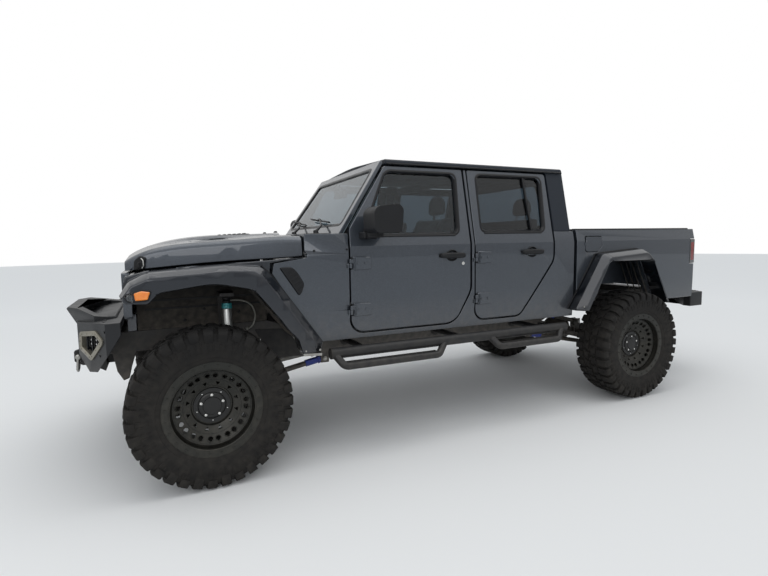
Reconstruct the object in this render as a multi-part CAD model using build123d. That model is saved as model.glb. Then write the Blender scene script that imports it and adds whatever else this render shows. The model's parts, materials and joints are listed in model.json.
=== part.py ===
"""Lifted crew-cab 4x4 pickup: separate pieces at real size, in millimetres.

Axes: +X forward, +Y left, +Z up, with the ground at z = 0.  While a piece is made, its X is measured
from the front axle; export moves everything so that the origin is under the middle of the length.
"""
import os
from math import cos, hypot, pi, radians, sin, sqrt

from build123d import *

# ---------------------------------------------------------------- overall sizes
WHEELBASE = 3488.0
FRONT_OVERHANG = 775.0        # front axle to the tip of the bumper hoop
REAR_OVERHANG = 1250.0        # rear axle to the back of the bumper
X_SHIFT = (WHEELBASE + REAR_OVERHANG - FRONT_OVERHANG) / 2
REAR_X = -WHEELBASE

# ---------------------------------------------------------------- wheels and axles
TYRE_R = 458.0                # to the tips of the tread
TYRE_W = 315.0
HALF_TRACK = 857.0
BEAD_R = 254.0                # 20 inch rim
RIM_W = 236.0
RING_R = 276.0                # bolted ring on the outer lip
RING_T = 17.0
DISC_R = 222.0                # pierced wheel disc
DISC_Y = 46.0                 # disc face at its middle, outboard of the wheel's middle plane
DISC_EDGE_Y = 94.0            # disc face at its rim
CAP_R, CAP_Y = 57.0, 44.0
HOLE_RING_R = 186.0           # circle of the paired holes
SEAT_GAP = 0.3                # between a piece and what it is seated on
HUB_FACE_Y = HALF_TRACK - 15  # wheel mounting face
SPINDLE_R, RUN_FIT = 30.0, 0.05
KING_Y = 715.0                # vertical steering axis
ARM_X = 190.0                 # steering arm, ahead of the axle
TIE_Z, DRAG_Z, PITMAN_Z = 390.0, 470.0, 590.0
PITMAN_X, PITMAN_Y = 60.0, 345.0
AXLE_TUBE_R = 42.0

# ---------------------------------------------------------------- body
SKIN_Y = 800.0                # body side below the belt
SILL_Z = 740.0
FLOOR_Z = 800.0               # underside of the cab floor
FLOOR_T = 30.0
BELT_Z = 1358.0               # crease: the sides lean in above this height
CAB_TOP_Z = 1442.0            # top edge of the tub
EAVES_Z, EAVES_Y = 1918.0, 675.0
DOOR_T, PILLAR_T = 82.0, 45.0  # door thickness below and above the belt
GAP = 12.0                    # shut gap round a door
WALL = 30.0
COWL_X = -620.0               # rear edge of the bonnet
DOOR_X = -915.0               # front edge of the front door
FIREWALL_X = DOOR_X + 14
B_POST_X = -1893.0            # middle of the B post
DOOR_END_X = -2676.0
CAB_REAR_X = -2900.0
BED_FRONT_X, BED_REAR_X = -2934.0, -4450.0
BED_BOTTOM_Z, BED_FLOOR_Z, RAIL_Z = 805.0, 990.0, 1455.0
BED_WALL = 75.0
BED_FLOOR_T = 30.0
HINGE_OUT = 18.0              # door hinge pins stand this far outside the skin
HINGE_R = 11.0

# ---------------------------------------------------------------- ladder frame
RAIL_IN_Y, RAIL_OUT_Y = 360.0, 430.0
RAIL_H = 130.0


# ================================================================ helpers
def rounded_face(corners, place):
    """A flat face from (u, v, radius) corners; place(u, v) gives the point in space."""
    count = len(corners)
    starts, mids, ends = [], [], []
    for i, (u, v, r) in enumerate(corners):
        pu, pv, _ = corners[i - 1]
        nu, nv, _ = corners[(i + 1) % count]
        au, av, bu, bv = pu - u, pv - v, nu - u, nv - v
        la, lb = hypot(au, av), hypot(bu, bv)
        au, av, bu, bv = au / la, av / la, bu / lb, bv / lb
        if r <= 0:
            starts.append((u, v))
            mids.append(None)
            ends.append((u, v))
            continue
        half_cos = sqrt(max(0.0, (1 + au * bu + av * bv) / 2))
        half_sin = sqrt(max(1e-9, 1 - half_cos**2))
        reach = r * half_cos / half_sin
        to_centre = r / half_sin
        mu, mv = au + bu, av + bv
        lm = hypot(mu, mv)
        mu, mv = mu / lm, mv / lm
        starts.append((u + au * reach, v + av * reach))
        mids.append((u + mu * (to_centre - r), v + mv * (to_centre - r)))
        ends.append((u + bu * reach, v + bv * reach))
    edges = []
    for i in range(count):
        if mids[i] is not None:
            edges.append(Edge.make_three_point_arc(place(*starts[i]), place(*mids[i]), place(*ends[i])))
        after = starts[(i + 1) % count]
        if hypot(after[0] - ends[i][0], after[1] - ends[i][1]) > 1e-6:
            edges.append(Edge.make_line(place(*ends[i]), place(*after)))
    return Face(Wire(edges))


def prism(corners, axis, low, high):
    """Extrudes an outline along X, Y or Z. Corners are (u, v) or (u, v, radius)."""
    corners = [(*c, 0) if len(c) == 2 else c for c in corners]
    place = {
        "X": lambda u, v: (low, u, v),
        "Y": lambda u, v: (u, low, v),
        "Z": lambda u, v: (u, v, low),
    }[axis]
    direction = {"X": (1, 0, 0), "Y": (0, 1, 0), "Z": (0, 0, 1)}[axis]
    return extrude(rounded_face(corners, place), amount=high - low, dir=direction)


def block(x0, x1, y0, y1, z0, z1, edge=0.0):
    """A box between two corners, with all its edges rounded if edge is given."""
    made = Pos((x0 + x1) / 2, (y0 + y1) / 2, (z0 + z1) / 2) * Box(abs(x1 - x0), abs(y1 - y0), abs(z1 - z0))
    return fillet(made.edges(), edge) if edge else made


def rod(start, end, radius):
    """A round bar between two points."""
    a, b = Vector(*start), Vector(*end)
    plane = Plane(origin=a, z_dir=b - a)
    return plane * Cylinder(radius, (b - a).length, align=(Align.CENTER, Align.CENTER, Align.MIN))


def bent_rod(points, radius, bend=70.0):
    """One round bar through points, turning with the bend radius at each corner."""
    path = FilletPolyline(*points, radius=bend)
    return sweep(Plane(origin=path @ 0, z_dir=path % 0) * Circle(radius), path=path)


def both_sides(shape):
    """A left-hand piece and its mirror image."""
    return shape + mirror(shape, Plane.XZ)


def turned(profile, y_middle):
    """Revolves an (y, r) outline about the wheel axis; y is outboard of y_middle."""
    face = rounded_face([(*p, 0) if len(p) == 2 else p for p in profile], lambda y, r: (0, y + y_middle, r))
    return revolve(face, axis=Axis.Y, revolution_arc=360)


def skin_y(z):
    """Half width of the body side at a height."""
    return SKIN_Y - (SKIN_Y - EAVES_Y) * max(0.0, z - BELT_Z) / (EAVES_Z - BELT_Z)


def side_slab(x0, x1, z0, z1, lower_t, upper_t, inset=0.0):
    """The left body side between two heights, as thick as lower_t, or upper_t above the belt."""
    corners = [(skin_y(z0) - inset, z0)]
    if z0 < BELT_Z < z1:
        corners.append((SKIN_Y - inset, BELT_Z))
    corners.append((skin_y(z1) - inset, z1))
    thick = upper_t if z1 > BELT_Z + 50 else lower_t
    corners.append((skin_y(z1) - inset - thick, z1))
    if z0 < BELT_Z < z1:
        if thick != lower_t:
            corners.append((skin_y(BELT_Z + 45) - inset - upper_t, BELT_Z + 45))
        corners.append((SKIN_Y - inset - lower_t, BELT_Z))
    corners.append((skin_y(z0) - inset - lower_t, z0))
    return prism(corners, "X", x0, x1)


# ================================================================ wheels
def tyre(x, side):
    half = TYRE_W / 2
    bead = BEAD_R + SEAT_GAP
    bead_y = RIM_W / 2 - 14
    tread = 33.0
    outer = [(-bead_y, bead), (-half + 6, bead + 75, 40), (-half, TYRE_R - 70, 40), (-half + 22, TYRE_R - 6, 14),
             (-half + 60, TYRE_R, 30), (half - 60, TYRE_R, 30), (half - 22, TYRE_R - 6, 14),
             (half, TYRE_R - 70, 40), (half - 6, bead + 75, 40), (bead_y, bead)]
    inner = [(bead_y - 22, bead), (half - 26, bead + 80, 30), (half - 40, TYRE_R - tread, 40),
             (-half + 40, TYRE_R - tread, 40), (-half + 26, bead + 80, 30), (-bead_y + 22, bead)]
    return Pos(x, 0, TYRE_R) * turned(outer + inner, side * HALF_TRACK)


def rim(x, side):
    """Rim, pierced disc, hub and brake disc of one wheel; side is 1 on the left and -1 on the right."""
    half = RIM_W / 2
    bore = SPINDLE_R + RUN_FIT
    pad = HUB_FACE_Y - HALF_TRACK
    barrel_in = BEAD_R - 14
    disc_t = 15.0
    section = [
        (CAP_Y, 0), (CAP_Y, CAP_R, 8), (DISC_Y - 10, CAP_R), (DISC_Y - 10, 104, 3), (DISC_Y - 16, 104),
        (DISC_Y - 16, 112), (DISC_Y, 118), (DISC_EDGE_Y, DISC_R - 6), (DISC_EDGE_Y - 8, barrel_in - 4),
        (half - 4, barrel_in - 4), (half + RING_T - 3, DISC_R + 6), (half + RING_T, DISC_R + 10),
        (half + RING_T, RING_R, 4), (half + 5, RING_R), (half, BEAD_R + 12), (half - 6, BEAD_R),
        (-half + 6, BEAD_R), (-half, BEAD_R + 16), (-half - 8, BEAD_R + 16), (-half - 8, barrel_in),
        (DISC_EDGE_Y - 30, barrel_in), (DISC_EDGE_Y - disc_t, DISC_R - 12), (DISC_Y - disc_t, 122),
        (DISC_Y - 34, 112), (pad, 105), (pad, 80), (pad - 22, 80), (pad - 22, 165), (pad - 44, 165), (pad - 44, 62),
        (pad - 52, 62), (pad - 52, bore), (CAP_Y - 20, bore), (CAP_Y - 20, 0),
    ]
    made = turned(section, HALF_TRACK)
    holes = 12
    for i in range(holes):
        angle = 2 * pi * i / holes
        for offset in (-radians(6.6), radians(6.6)):
            a = angle + offset
            u, v = HOLE_RING_R * sin(a), HOLE_RING_R * cos(a)
            made -= rod((u, HALF_TRACK + DISC_Y - 20, v), (u, HALF_TRACK + half, v), 14.5)
        a += -radians(6.6) + pi / holes
        cut = Rotation(0, a * 180 / pi, 0) * Rotation(90, 0, 0) * extrude(RegularPolygon(15, 3, rotation=30), amount=30, both=True)
        made -= Pos(138 * sin(a), HALF_TRACK + DISC_Y, 138 * cos(a)) * cut
    if side < 0:
        made = mirror(made, Plane.XZ)
    return Pos(x, 0, TYRE_R) * made


def knuckle(side):
    """Steering knuckle with its pins, spindle, steering arm and brake caliper."""
    pin_r, fork = 14.0, 96.0
    made = rod((0, KING_Y, TYRE_R - fork), (0, KING_Y, TYRE_R + fork), 27)
    made += rod((0, KING_Y, TYRE_R - fork - 34), (0, KING_Y, TYRE_R + fork + 34), pin_r)
    made += rod((0, KING_Y, TYRE_R), (0, HUB_FACE_Y - 57, TYRE_R), 58)
    made += rod((0, KING_Y, TYRE_R), (0, HUB_FACE_Y - 2, TYRE_R), SPINDLE_R)
    made += rod((0, KING_Y, TYRE_R - 35), (ARM_X, KING_Y, TIE_Z + 38), 15)
    made += rod((ARM_X, KING_Y, TIE_Z + 20 + SEAT_GAP), (ARM_X, KING_Y, DRAG_Z - 20 - SEAT_GAP), 20)
    made += prism([(-218, TYRE_R - 70, 12), (-175, TYRE_R - 78, 8), (-175, TYRE_R + 78, 8), (-218, TYRE_R + 70, 12)],
                  "Y", HUB_FACE_Y - 100, HUB_FACE_Y - 4)
    made += block(-180, -40, HUB_FACE_Y - 100, HUB_FACE_Y - 55, TYRE_R - 45, TYRE_R + 45)
    return made if side > 0 else mirror(made, Plane.XZ)


def eye_bar(start, end, radius, eye_r, eye_h):
    """A bar with an upright round eye at each end."""
    made = rod(start, end, radius)
    for x, y, z in (start, end):
        made += rod((x, y, z - eye_h / 2), (x, y, z + eye_h / 2), eye_r)
    return made


def tie_rod():
    return eye_bar((ARM_X, -KING_Y, TIE_Z), (ARM_X, KING_Y, TIE_Z), 17, 24, 40)


def drag_link():
    return eye_bar((PITMAN_X + ARM_X, PITMAN_Y, PITMAN_Z - 48), (ARM_X, -KING_Y, DRAG_Z), 16, 23, 40)


def pitman_arm():
    tip = (PITMAN_X + ARM_X, PITMAN_Y, PITMAN_Z)
    hub = (PITMAN_X, PITMAN_Y, PITMAN_Z)
    made = rod(hub, tip, 15)
    made += rod((hub[0], hub[1], PITMAN_Z - 18), (hub[0], hub[1], PITMAN_Z + 18), 30)
    return made + rod((tip[0], tip[1], PITMAN_Z - 28 + SEAT_GAP), (tip[0], tip[1], PITMAN_Z + 16), 23)


# ================================================================ axles and suspension
DAMPER_X = {"front": -150.0, "rear": REAR_X - 130}
SPRING_Y, SPRING_R = 495.0, 62.0
SEAT_Z, TOWER_Z = 512.0, 735.0


LINKS = [  # axle eye, chassis eye of each left-hand control arm
    ((-60, 452, 400), (-840, 395, 535)),
    ((-62, 388, 545), (-560, 330, 690)),
    ((REAR_X + 62, 460, 400), (-2760, 395, 535)),
    ((REAR_X + 40, 300, 575), (-3010, 330, 690)),
]
EYE_R, EYE_HALF = 28.0, 24.0
SHAFTS = {"front": ((0, 250, TYRE_R), (-1440, 225, 640)), "rear": ((REAR_X, 0, TYRE_R), (-1770, 0, 680))}
PINION = 160.0                # axle centre to the drive flange


def clevis(eye, z_host, x_reach):
    """Two plates beside a control arm's eye, running to z_host, and a cap across them there."""
    x, y, z = eye
    inner, outer = EYE_HALF + SEAT_GAP, EYE_HALF + SEAT_GAP + 8
    up = 1 if z_host > z else -1
    low, high = sorted((z - up * (EYE_R + 2), z_host))
    made = None
    for s in (1, -1):
        y0, y1 = sorted((y + s * inner, y + s * outer))
        plate = block(x - 32, x + x_reach, y0, y1, low, high)
        made = plate if made is None else made + plate
    cap = sorted((z + up * (EYE_R + 3), z + up * (EYE_R + 11)))
    return made + block(x - 32, x + x_reach, y - outer, y + outer, *cap)


def drive_point(end, reach):
    """A point on the line from an axle's centre to the transfer case."""
    centre, case = (Vector(*p) for p in SHAFTS[end])
    return centre + (case - centre).normalized() * reach


def axle_beam(end, tube_r, diff_y, diff_r, half):
    """Axle tube, differential, drive pinion, spring seats, damper arms and link brackets."""
    x = 0.0 if end == "front" else REAR_X
    made = rod((x, -half, TYRE_R), (x, half, TYRE_R), tube_r) + Pos(x, diff_y, TYRE_R) * Sphere(diff_r)
    made += rod((x, diff_y, TYRE_R), drive_point(end, PINION), 44)
    low, high = (0, 1) if end == "front" else (2, 3)
    piece = rod((x, SPRING_Y, TYRE_R), (x, SPRING_Y, SEAT_Z - SEAT_GAP), 50)
    piece += rod((x, 560, TYRE_R), (DAMPER_X[end], 560, TYRE_R - 10), 18)
    piece += clevis(LINKS[low][0], TYRE_R + 12, x - LINKS[low][0][0] - 8 if end == "front" else 32)
    piece += clevis(LINKS[high][0], TYRE_R + 12, 32)
    return made + both_sides(piece)


def front_axle():
    fork = 96.0
    made = axle_beam("front", AXLE_TUBE_R, 250, 118, 640)
    for s in (1, -1):
        for z in (-1, 1):
            arm = block(-32, 32, min(s * 600, s * 745), max(s * 600, s * 745),
                        TYRE_R + z * (fork + 5), TYRE_R + z * (fork + 33))
            made += arm - rod((0, s * KING_Y, TYRE_R - 200), (0, s * KING_Y, TYRE_R + 200), 14.0 + RUN_FIT)
        made += block(-32, 32, min(s * 600, s * 632), max(s * 600, s * 632), TYRE_R - fork - 33, TYRE_R + fork + 33)
    return made


def rear_axle():
    made = axle_beam("rear", AXLE_TUBE_R + 3, 0, 128, 745)
    made += rod((REAR_X, -HUB_FACE_Y + 2, TYRE_R), (REAR_X, HUB_FACE_Y - 2, TYRE_R), SPINDLE_R)
    return made + both_sides(rod((REAR_X, 740, TYRE_R), (REAR_X, HUB_FACE_Y - 57, TYRE_R), 58))


def suspension_links():
    made = None
    for start, end in LINKS:
        bar = rod(start, end, 19)
        for x, y, z in (start, end):
            bar += rod((x, y - EYE_HALF, z), (x, y + EYE_HALF, z), EYE_R)
        made = both_sides(bar) if made is None else made + both_sides(bar)
    return made


def coil_springs():
    spring = Cylinder(SPRING_R, TOWER_Z - SEAT_Z, align=(Align.CENTER, Align.CENTER, Align.MIN))
    spring -= Cylinder(SPRING_R - 16, TOWER_Z, align=(Align.CENTER, Align.CENTER, Align.MIN))
    made = None
    for x in (0, REAR_X):
        pair = both_sides(Pos(x, SPRING_Y, SEAT_Z) * spring)
        made = pair if made is None else made + pair
    return made


DAMPER_TOP = {"front": (1050.0, 540.0), "rear": (830.0, 520.0)}   # height and y of the upper mount


def dampers():
    made = None
    for end, x in DAMPER_X.items():
        top_z, top_y = DAMPER_TOP[end]
        foot = Vector(x, 560, TYRE_R + 9.9)
        head = Vector(x, top_y, top_z - 4)
        waist = foot + (head - foot) * 0.38
        one = rod(foot + (0, 0, 10), waist, 12) + rod(waist, head, 31) + rod(foot, foot + (0, 0, 28), 20)
        one += rod((x, top_y, top_z - 20), (x, top_y, top_z), 12)
        made = both_sides(one) if made is None else made + both_sides(one)
    return made


# ================================================================ frame and machinery
RAIL_LINE = [(560, 790), (-430, 790), (-860, 640), (-2740, 640), (-3120, 800), (-4460, 800)]   # x, z
ENGINE = (-560.0, 180.0, 230.0, 758.0, 1180.0)                    # x range, half width, z range
CROSS = [  # x, underside and top of each cross member
    (430, 735, 855), (-420, 725, ENGINE[3] - SEAT_GAP), (-1420, 575, 597), (-2130, 684, 705),
    (-2700, 684, 705), (-3130, 735, 865), (-3830, 745, 855), (-4400, 745, 855),
]
MOUNT_X = (-780.0, -1250.0, -1850.0, -2450.0, -2840.0)            # body mounts
BED_MOUNT_X = (-3010.0, -4300.0)


def rail_z(x):
    """Height of the rail's middle line at a station."""
    for (xa, za), (xb, zb) in zip(RAIL_LINE, RAIL_LINE[1:]):
        if xb <= x <= xa:
            return za + (zb - za) * (xa - x) / (xa - xb)
    return RAIL_LINE[-1][1]


def rail_outline(grow):
    """Side view of a frame rail, grown upward and downward."""
    half = RAIL_H / 2 + grow
    return [(x, z + half) for x, z in RAIL_LINE] + [(x, z - half) for x, z in reversed(RAIL_LINE)]


def frame():
    """The two side rails with the brackets of the control arms."""
    half = RAIL_H / 2
    one = prism(rail_outline(0), "Y", RAIL_IN_Y, RAIL_OUT_Y)
    one += prism([(390, 730), (525, 730), (505, 610), (472, 548), (440, 560), (420, 640)], "Y", 404, RAIL_OUT_Y)
    for number in range(4):
        eye = LINKS[number][1]
        one += clevis(eye, rail_z(eye[0]) - (half - 12 if number % 2 == 0 else -10), 32)
    return both_sides(one)


def cross_members():
    reach = RAIL_IN_Y - SEAT_GAP
    made = [block(x - 45, x + 45, -reach, reach, low, high) for x, low, high in CROSS]
    return Compound(children=made)


def suspension_towers():
    """Upper spring seats, and a post with a shelf for the top of each damper."""
    made = []
    y_in = RAIL_OUT_Y + SEAT_GAP
    for x in (0, REAR_X):
        low = TOWER_Z + SEAT_GAP
        made.append(block(x - 75, x + 75, y_in, SPRING_Y + SPRING_R, low, low + 30))
    for end, x in DAMPER_X.items():
        top_z, top_y = DAMPER_TOP[end]
        post = block(x - 45, x + 45, y_in, RAIL_OUT_Y + 12, 800, top_z + 25)
        made.append(post + block(x - 45, x + 45, y_in, top_y + 35, top_z + SEAT_GAP, top_z + 25))
    return Compound(children=made + [mirror(one, Plane.XZ) for one in made])


def body_mounts():
    """Rubber mounts on the rails, under the cab and the bed."""
    rail = prism(rail_outline(SEAT_GAP), "Y", RAIL_IN_Y - 1, RAIL_OUT_Y + 1)
    made = []
    for top, stations in ((FLOOR_Z, MOUNT_X), (BED_FLOOR_Z - BED_FLOOR_T, BED_MOUNT_X)):
        for x in stations:
            made.append(rod((x, 395, rail_z(x)), (x, 395, top - SEAT_GAP), 34) - rail)
    return Compound(children=made + [mirror(one, Plane.XZ) for one in made])


def steering_box():
    low, high = PITMAN_Z + 40, 800.0
    made = block(PITMAN_X - 55, PITMAN_X + 55, 268, RAIL_IN_Y - SEAT_GAP, low, high)
    return made + rod((PITMAN_X, PITMAN_Y, PITMAN_Z + 18 + SEAT_GAP), (PITMAN_X, PITMAN_Y, low + 20), 18)


def engine():
    x0, x1, half, low, high = ENGINE
    return block(x0, x1, -half, half, low, high, 20)


def drivetrain():
    """Gearbox, transfer case and the two drive shafts."""
    made = rod((-640, 0, 700), (-1400, 0, 690), 92) + block(-640, ENGINE[0] - SEAT_GAP, -110, 110, 610, 830)
    made += block(-1780, -1395, -130, 270, 597 + SEAT_GAP, 780)
    for end, (centre, case) in SHAFTS.items():
        made += rod(case, drive_point(end, PINION + SEAT_GAP), 26 if end == "front" else 36)
    return made


EXHAUST_Y = -225.0


def exhaust():
    r = 29.0
    front = [(-530, -262, 800), (-560, -262, 690), (-900, EXHAUST_Y, 650), (-3050, EXHAUST_Y, 650),
             (-3420, EXHAUST_Y, 655), (-3900, EXHAUST_Y, 685), (-4050, EXHAUST_Y, 685)]
    made = bent_rod(front, r, 45)
    made += block(-560, -500, -ENGINE[2] - 64, -ENGINE[2] - SEAT_GAP, 770, 830)
    made += block(-4310, -4020, -330, 60, 635, 745 - SEAT_GAP, 25)
    return made + bent_rod([(-4300, EXHAUST_Y, 680), (-4380, EXHAUST_Y, 675), (-4470, -560, 665), (-4640, -560, 665)], r, 60)


def fuel_tank():
    return block(-2640, -2215, 62, RAIL_IN_Y - SEAT_GAP, 520, 672)


# ================================================================ bumpers and steps
TOW_EYE = (724.0, 263.0, 700.0)
TOW_T = 26.0
TOW_R = 12.5


def front_bumper():
    wing = [(0, 705), (NOSE_CORNER[1], NOSE_CORNER[0]), (WING_TIP[1], WING_TIP[0]), (760, 452), (760, 448), (0, 448)]
    side = [(720, 935), (448, 960), (448, 890), (590, 660), (640, 648), (722, 775)]
    half = prism([(x, y) for y, x in wing], "Z", 600, 1000) & prism(side, "Y", 0, 800)
    inner = [(-1, 680), (NOSE_CORNER[1] - 8, 678), (WING_TIP[1] - 18, 508), (728, 470), (728, 430), (-1, 430)]
    depth = [(696, 900), (420, 920), (420, 700), (585, 700), (630, 690), (690, 782)]
    half -= prism([(x, y) for y, x in inner], "Z", 600, 1000) & prism(depth, "Y", -1, 800)
    half -= fog_pocket()
    x, y, z = TOW_EYE
    tow = prism([(485, 640), (705, 640), (x + 24, z - 32, 12), (x + 24, z + 35, 12), (660, 760), (485, 760)],
                "Y", y - TOW_T / 2, y + TOW_T / 2)
    tow -= rod((x, y - TOW_T, z), (x, y + TOW_T, z), TOW_R)
    tip = FRONT_OVERHANG
    ring = prism([(tip, 0), (tip, 238), (600, 512), (480, 512), (480, 0)], "Z", 900, 1030)
    ring -= prism([(702, -1), (702, 196), (578, 420), (500, 420), (500, -1)], "Z", 890, 1040)
    ring &= prism([(712, 915), (tip, 1000, 5), (tip - 8, 1011, 5), (704, 1011), (600, 978), (480, 958), (480, 915)], "Y", -1, 600)
    horn = block(560 + SEAT_GAP, 685, RAIL_IN_Y, RAIL_OUT_Y, 730, 905)
    made = both_sides(half + tow + ring + horn)
    return made + prism([(560 + SEAT_GAP, 640), (575, 600), (640, 640), (640, 672), (570, 680)], "Y", -330, 330)


NOSE_CORNER = (700.0, 420.0)  # x, y where the bumper's face turns back
WING_TIP = (530.0, 715.0)
FOG = [(35, 875, 8), (242, 900, 8), (323, 851, 8), (162, 724, 8), (23, 781, 8)]   # along the face, height


def fog_pocket():
    """Five-sided lamp opening through the slanted corner of the bumper."""
    run = Vector(WING_TIP[0] - NOSE_CORNER[0], WING_TIP[1] - NOSE_CORNER[1], 0).normalized()
    face = Plane(origin=(*NOSE_CORNER, 0), x_dir=run, z_dir=(run.Y, -run.X, 0))
    mid_u, mid_v = sum(c[0] for c in FOG) / len(FOG), sum(c[1] for c in FOG) / len(FOG)
    corners = [(mid_u + 0.78 * (u - mid_u), mid_v + 0.78 * (v - mid_v), r) for u, v, r in FOG]
    flat = rounded_face(corners, lambda u, v: face.from_local_coords((u, v, -45)))
    return extrude(flat, amount=90, dir=face.z_dir)


RECEIVER_Z = 673.0
RECEIVER_PIN_X = REAR_X - REAR_OVERHANG + 70
RECEIVER_PIN_R = 8.1


def rear_bumper():
    back = REAR_X - REAR_OVERHANG
    plan = [(back, 600, 30), (back + 60, 760, 30), (-4490, 760, 10), (-4490, 690), (-4560, 600), (-4560, 0), (back, 0)]
    made = both_sides(prism(plan, "Z", 700, 835))
    made += both_sides(block(-4570, -4460 - SEAT_GAP, RAIL_IN_Y, RAIL_OUT_Y, 740, 832))
    tube = block(back, -4480, -45, 45, RECEIVER_Z - 33, RECEIVER_Z + 32)
    tube -= block(back - 10, back + 180, -25.4, 25.4, RECEIVER_Z - 25.4, RECEIVER_Z + 25.4)
    return made + tube - rod((RECEIVER_PIN_X, -60, RECEIVER_Z), (RECEIVER_PIN_X, 60, RECEIVER_Z), RECEIVER_PIN_R)


def side_steps():
    y_in, y_out, z_top, z_low = 870.0, 935.0, 672.0, 595.0
    made = rod((-735, y_in, z_top), (-2740, y_in, z_top), 36)
    for x0, x1 in ((-760.0, -1600.0), (-1985.0, -2700.0)):
        drop = bent_rod([(x0, y_in, z_top), (x0 - 50, y_out, z_low), (x1 + 90, y_out, z_low), (x1, y_in, z_top)], 25, 50)
        made += drop + block(x1 + 100, x0 - 60, y_in + 25, y_out + 10, z_low + 12, z_low + 24)
    for x in (-1000.0, -1780.0, -2560.0):
        made += rod((x, y_in, z_top - 8), (x, RAIL_OUT_Y + SEAT_GAP, z_top - 8), 22)
    return both_sides(made)


# ================================================================ cab
def door_outline(which, grow=0.0):
    """Side view of a door, as (x, z, radius) corners; grow widens it to the opening, most at the rear edge,
    which swings back a little before it comes out."""
    g, rear = grow, 1.35 * grow
    top = EAVES_Z - 6 + g
    if which == "front":
        return [(DOOR_X + g, DOOR_BOTTOM_Z - g, 90 + g), (-1735, DOOR_BOTTOM_Z - g, 140 + g), (-1868 - rear, 1015, 160 + g),
                (-1868 - rear, top, 12), (-1228 + 0.7 * g, top, 30), (DOOR_X - 6 + g, 1472 + g / 2, 60), (DOOR_X + g, 1380)]
    return [(-1914 + g, DOOR_BOTTOM_Z + 6 - g, 80 + g), (-2335 - g / 2, DOOR_BOTTOM_Z + 6 - g, 90 + g),
            (DOOR_END_X - rear, 1215 - g / 3, 130 + g), (DOOR_END_X - rear, top, 25 + g), (-1914 + g, top, 12)]


DOOR_BOTTOM_Z = 782.0
WINDOW = {
    "front": [(-1025, 1437, 30), (-1772, 1437, 45), (-1800, 1872, 50), (-1235, 1872, 40)],
    "rear": [(-1985, 1450, 40), (-2590, 1450, 25), (-2622, 1875, 55), (-1995, 1875, 40)],
}
DOORS = {"fl": ("front", 1), "fr": ("front", -1), "rl": ("rear", 1), "rr": ("rear", -1)}
HINGE_Z = {"front": (1245.0, 935.0), "rear": (1255.0, 945.0)}
HANDLE_X = {"front": -1705.0, "rear": -2460.0}
HINGE_X = {"front": DOOR_X + GAP / 2, "rear": -1914 + GAP / 2}


def hinge_leaf(which, z, on_door):
    """Half a door hinge: a plate on the skin and its share of the barrel."""
    x = HINGE_X[which]
    low, high = (z + 0.3, z + 30) if on_door else (z - 30, z - 0.3)
    reach = -72 if on_door else 20
    plate = block(min(x, x + reach), max(x, x + reach), SKIN_Y - 2, SKIN_Y + HINGE_OUT - 6, low, high)
    barrel = rod((x, SKIN_Y + HINGE_OUT, low), (x, SKIN_Y + HINGE_OUT, high), HINGE_R)
    return plate + barrel


def door_panel(which, side):
    span = (-2700.0, -900.0)
    slab = side_slab(*span, 760, EAVES_Z, DOOR_T, PILLAR_T)
    made = slab & prism(door_outline(which), "Y", 500, 900)
    made -= prism(WINDOW[which], "Y", 500, 900)
    for z in HINGE_Z[which]:
        made += hinge_leaf(which, z, True)
    x = HANDLE_X[which]
    grip = prism([(x - 82, 1262, 14), (x - 82, 1292, 14), (x + 82, 1292, 14), (x + 82, 1262, 14)], "Y", SKIN_Y - 2, SKIN_Y + 38)
    grip -= block(x - 45, x + 45, SKIN_Y, SKIN_Y + 24, 1240, 1310)
    made += grip
    return made if side > 0 else mirror(made, Plane.XZ)


def door_glass(which, side):
    span = (-2700.0, -900.0)
    made = side_slab(*span, 1430, EAVES_Z - 20, 6, 6, inset=24) & prism(WINDOW[which], "Y", 500, 900)
    return made if side > 0 else mirror(made, Plane.XZ)


def mirror_unit(side):
    arm = block(-1085, -985, SKIN_Y - 26, SKIN_Y + 70, 1405, 1450, 10) - side_slab(-1200, -900, 1300, 1500, 90, 90)
    made = arm + prism([(-990, 1440, 35), (-1180, 1440, 35), (-1195, 1628, 45), (-985, 1605, 55)], "Y", SKIN_Y + 60, SKIN_Y + 245)
    made += block(-1070, -1000, SKIN_Y + 20, SKIN_Y + 100, 1410, 1470, 12)
    return made if side > 0 else mirror(made, Plane.XZ)


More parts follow.
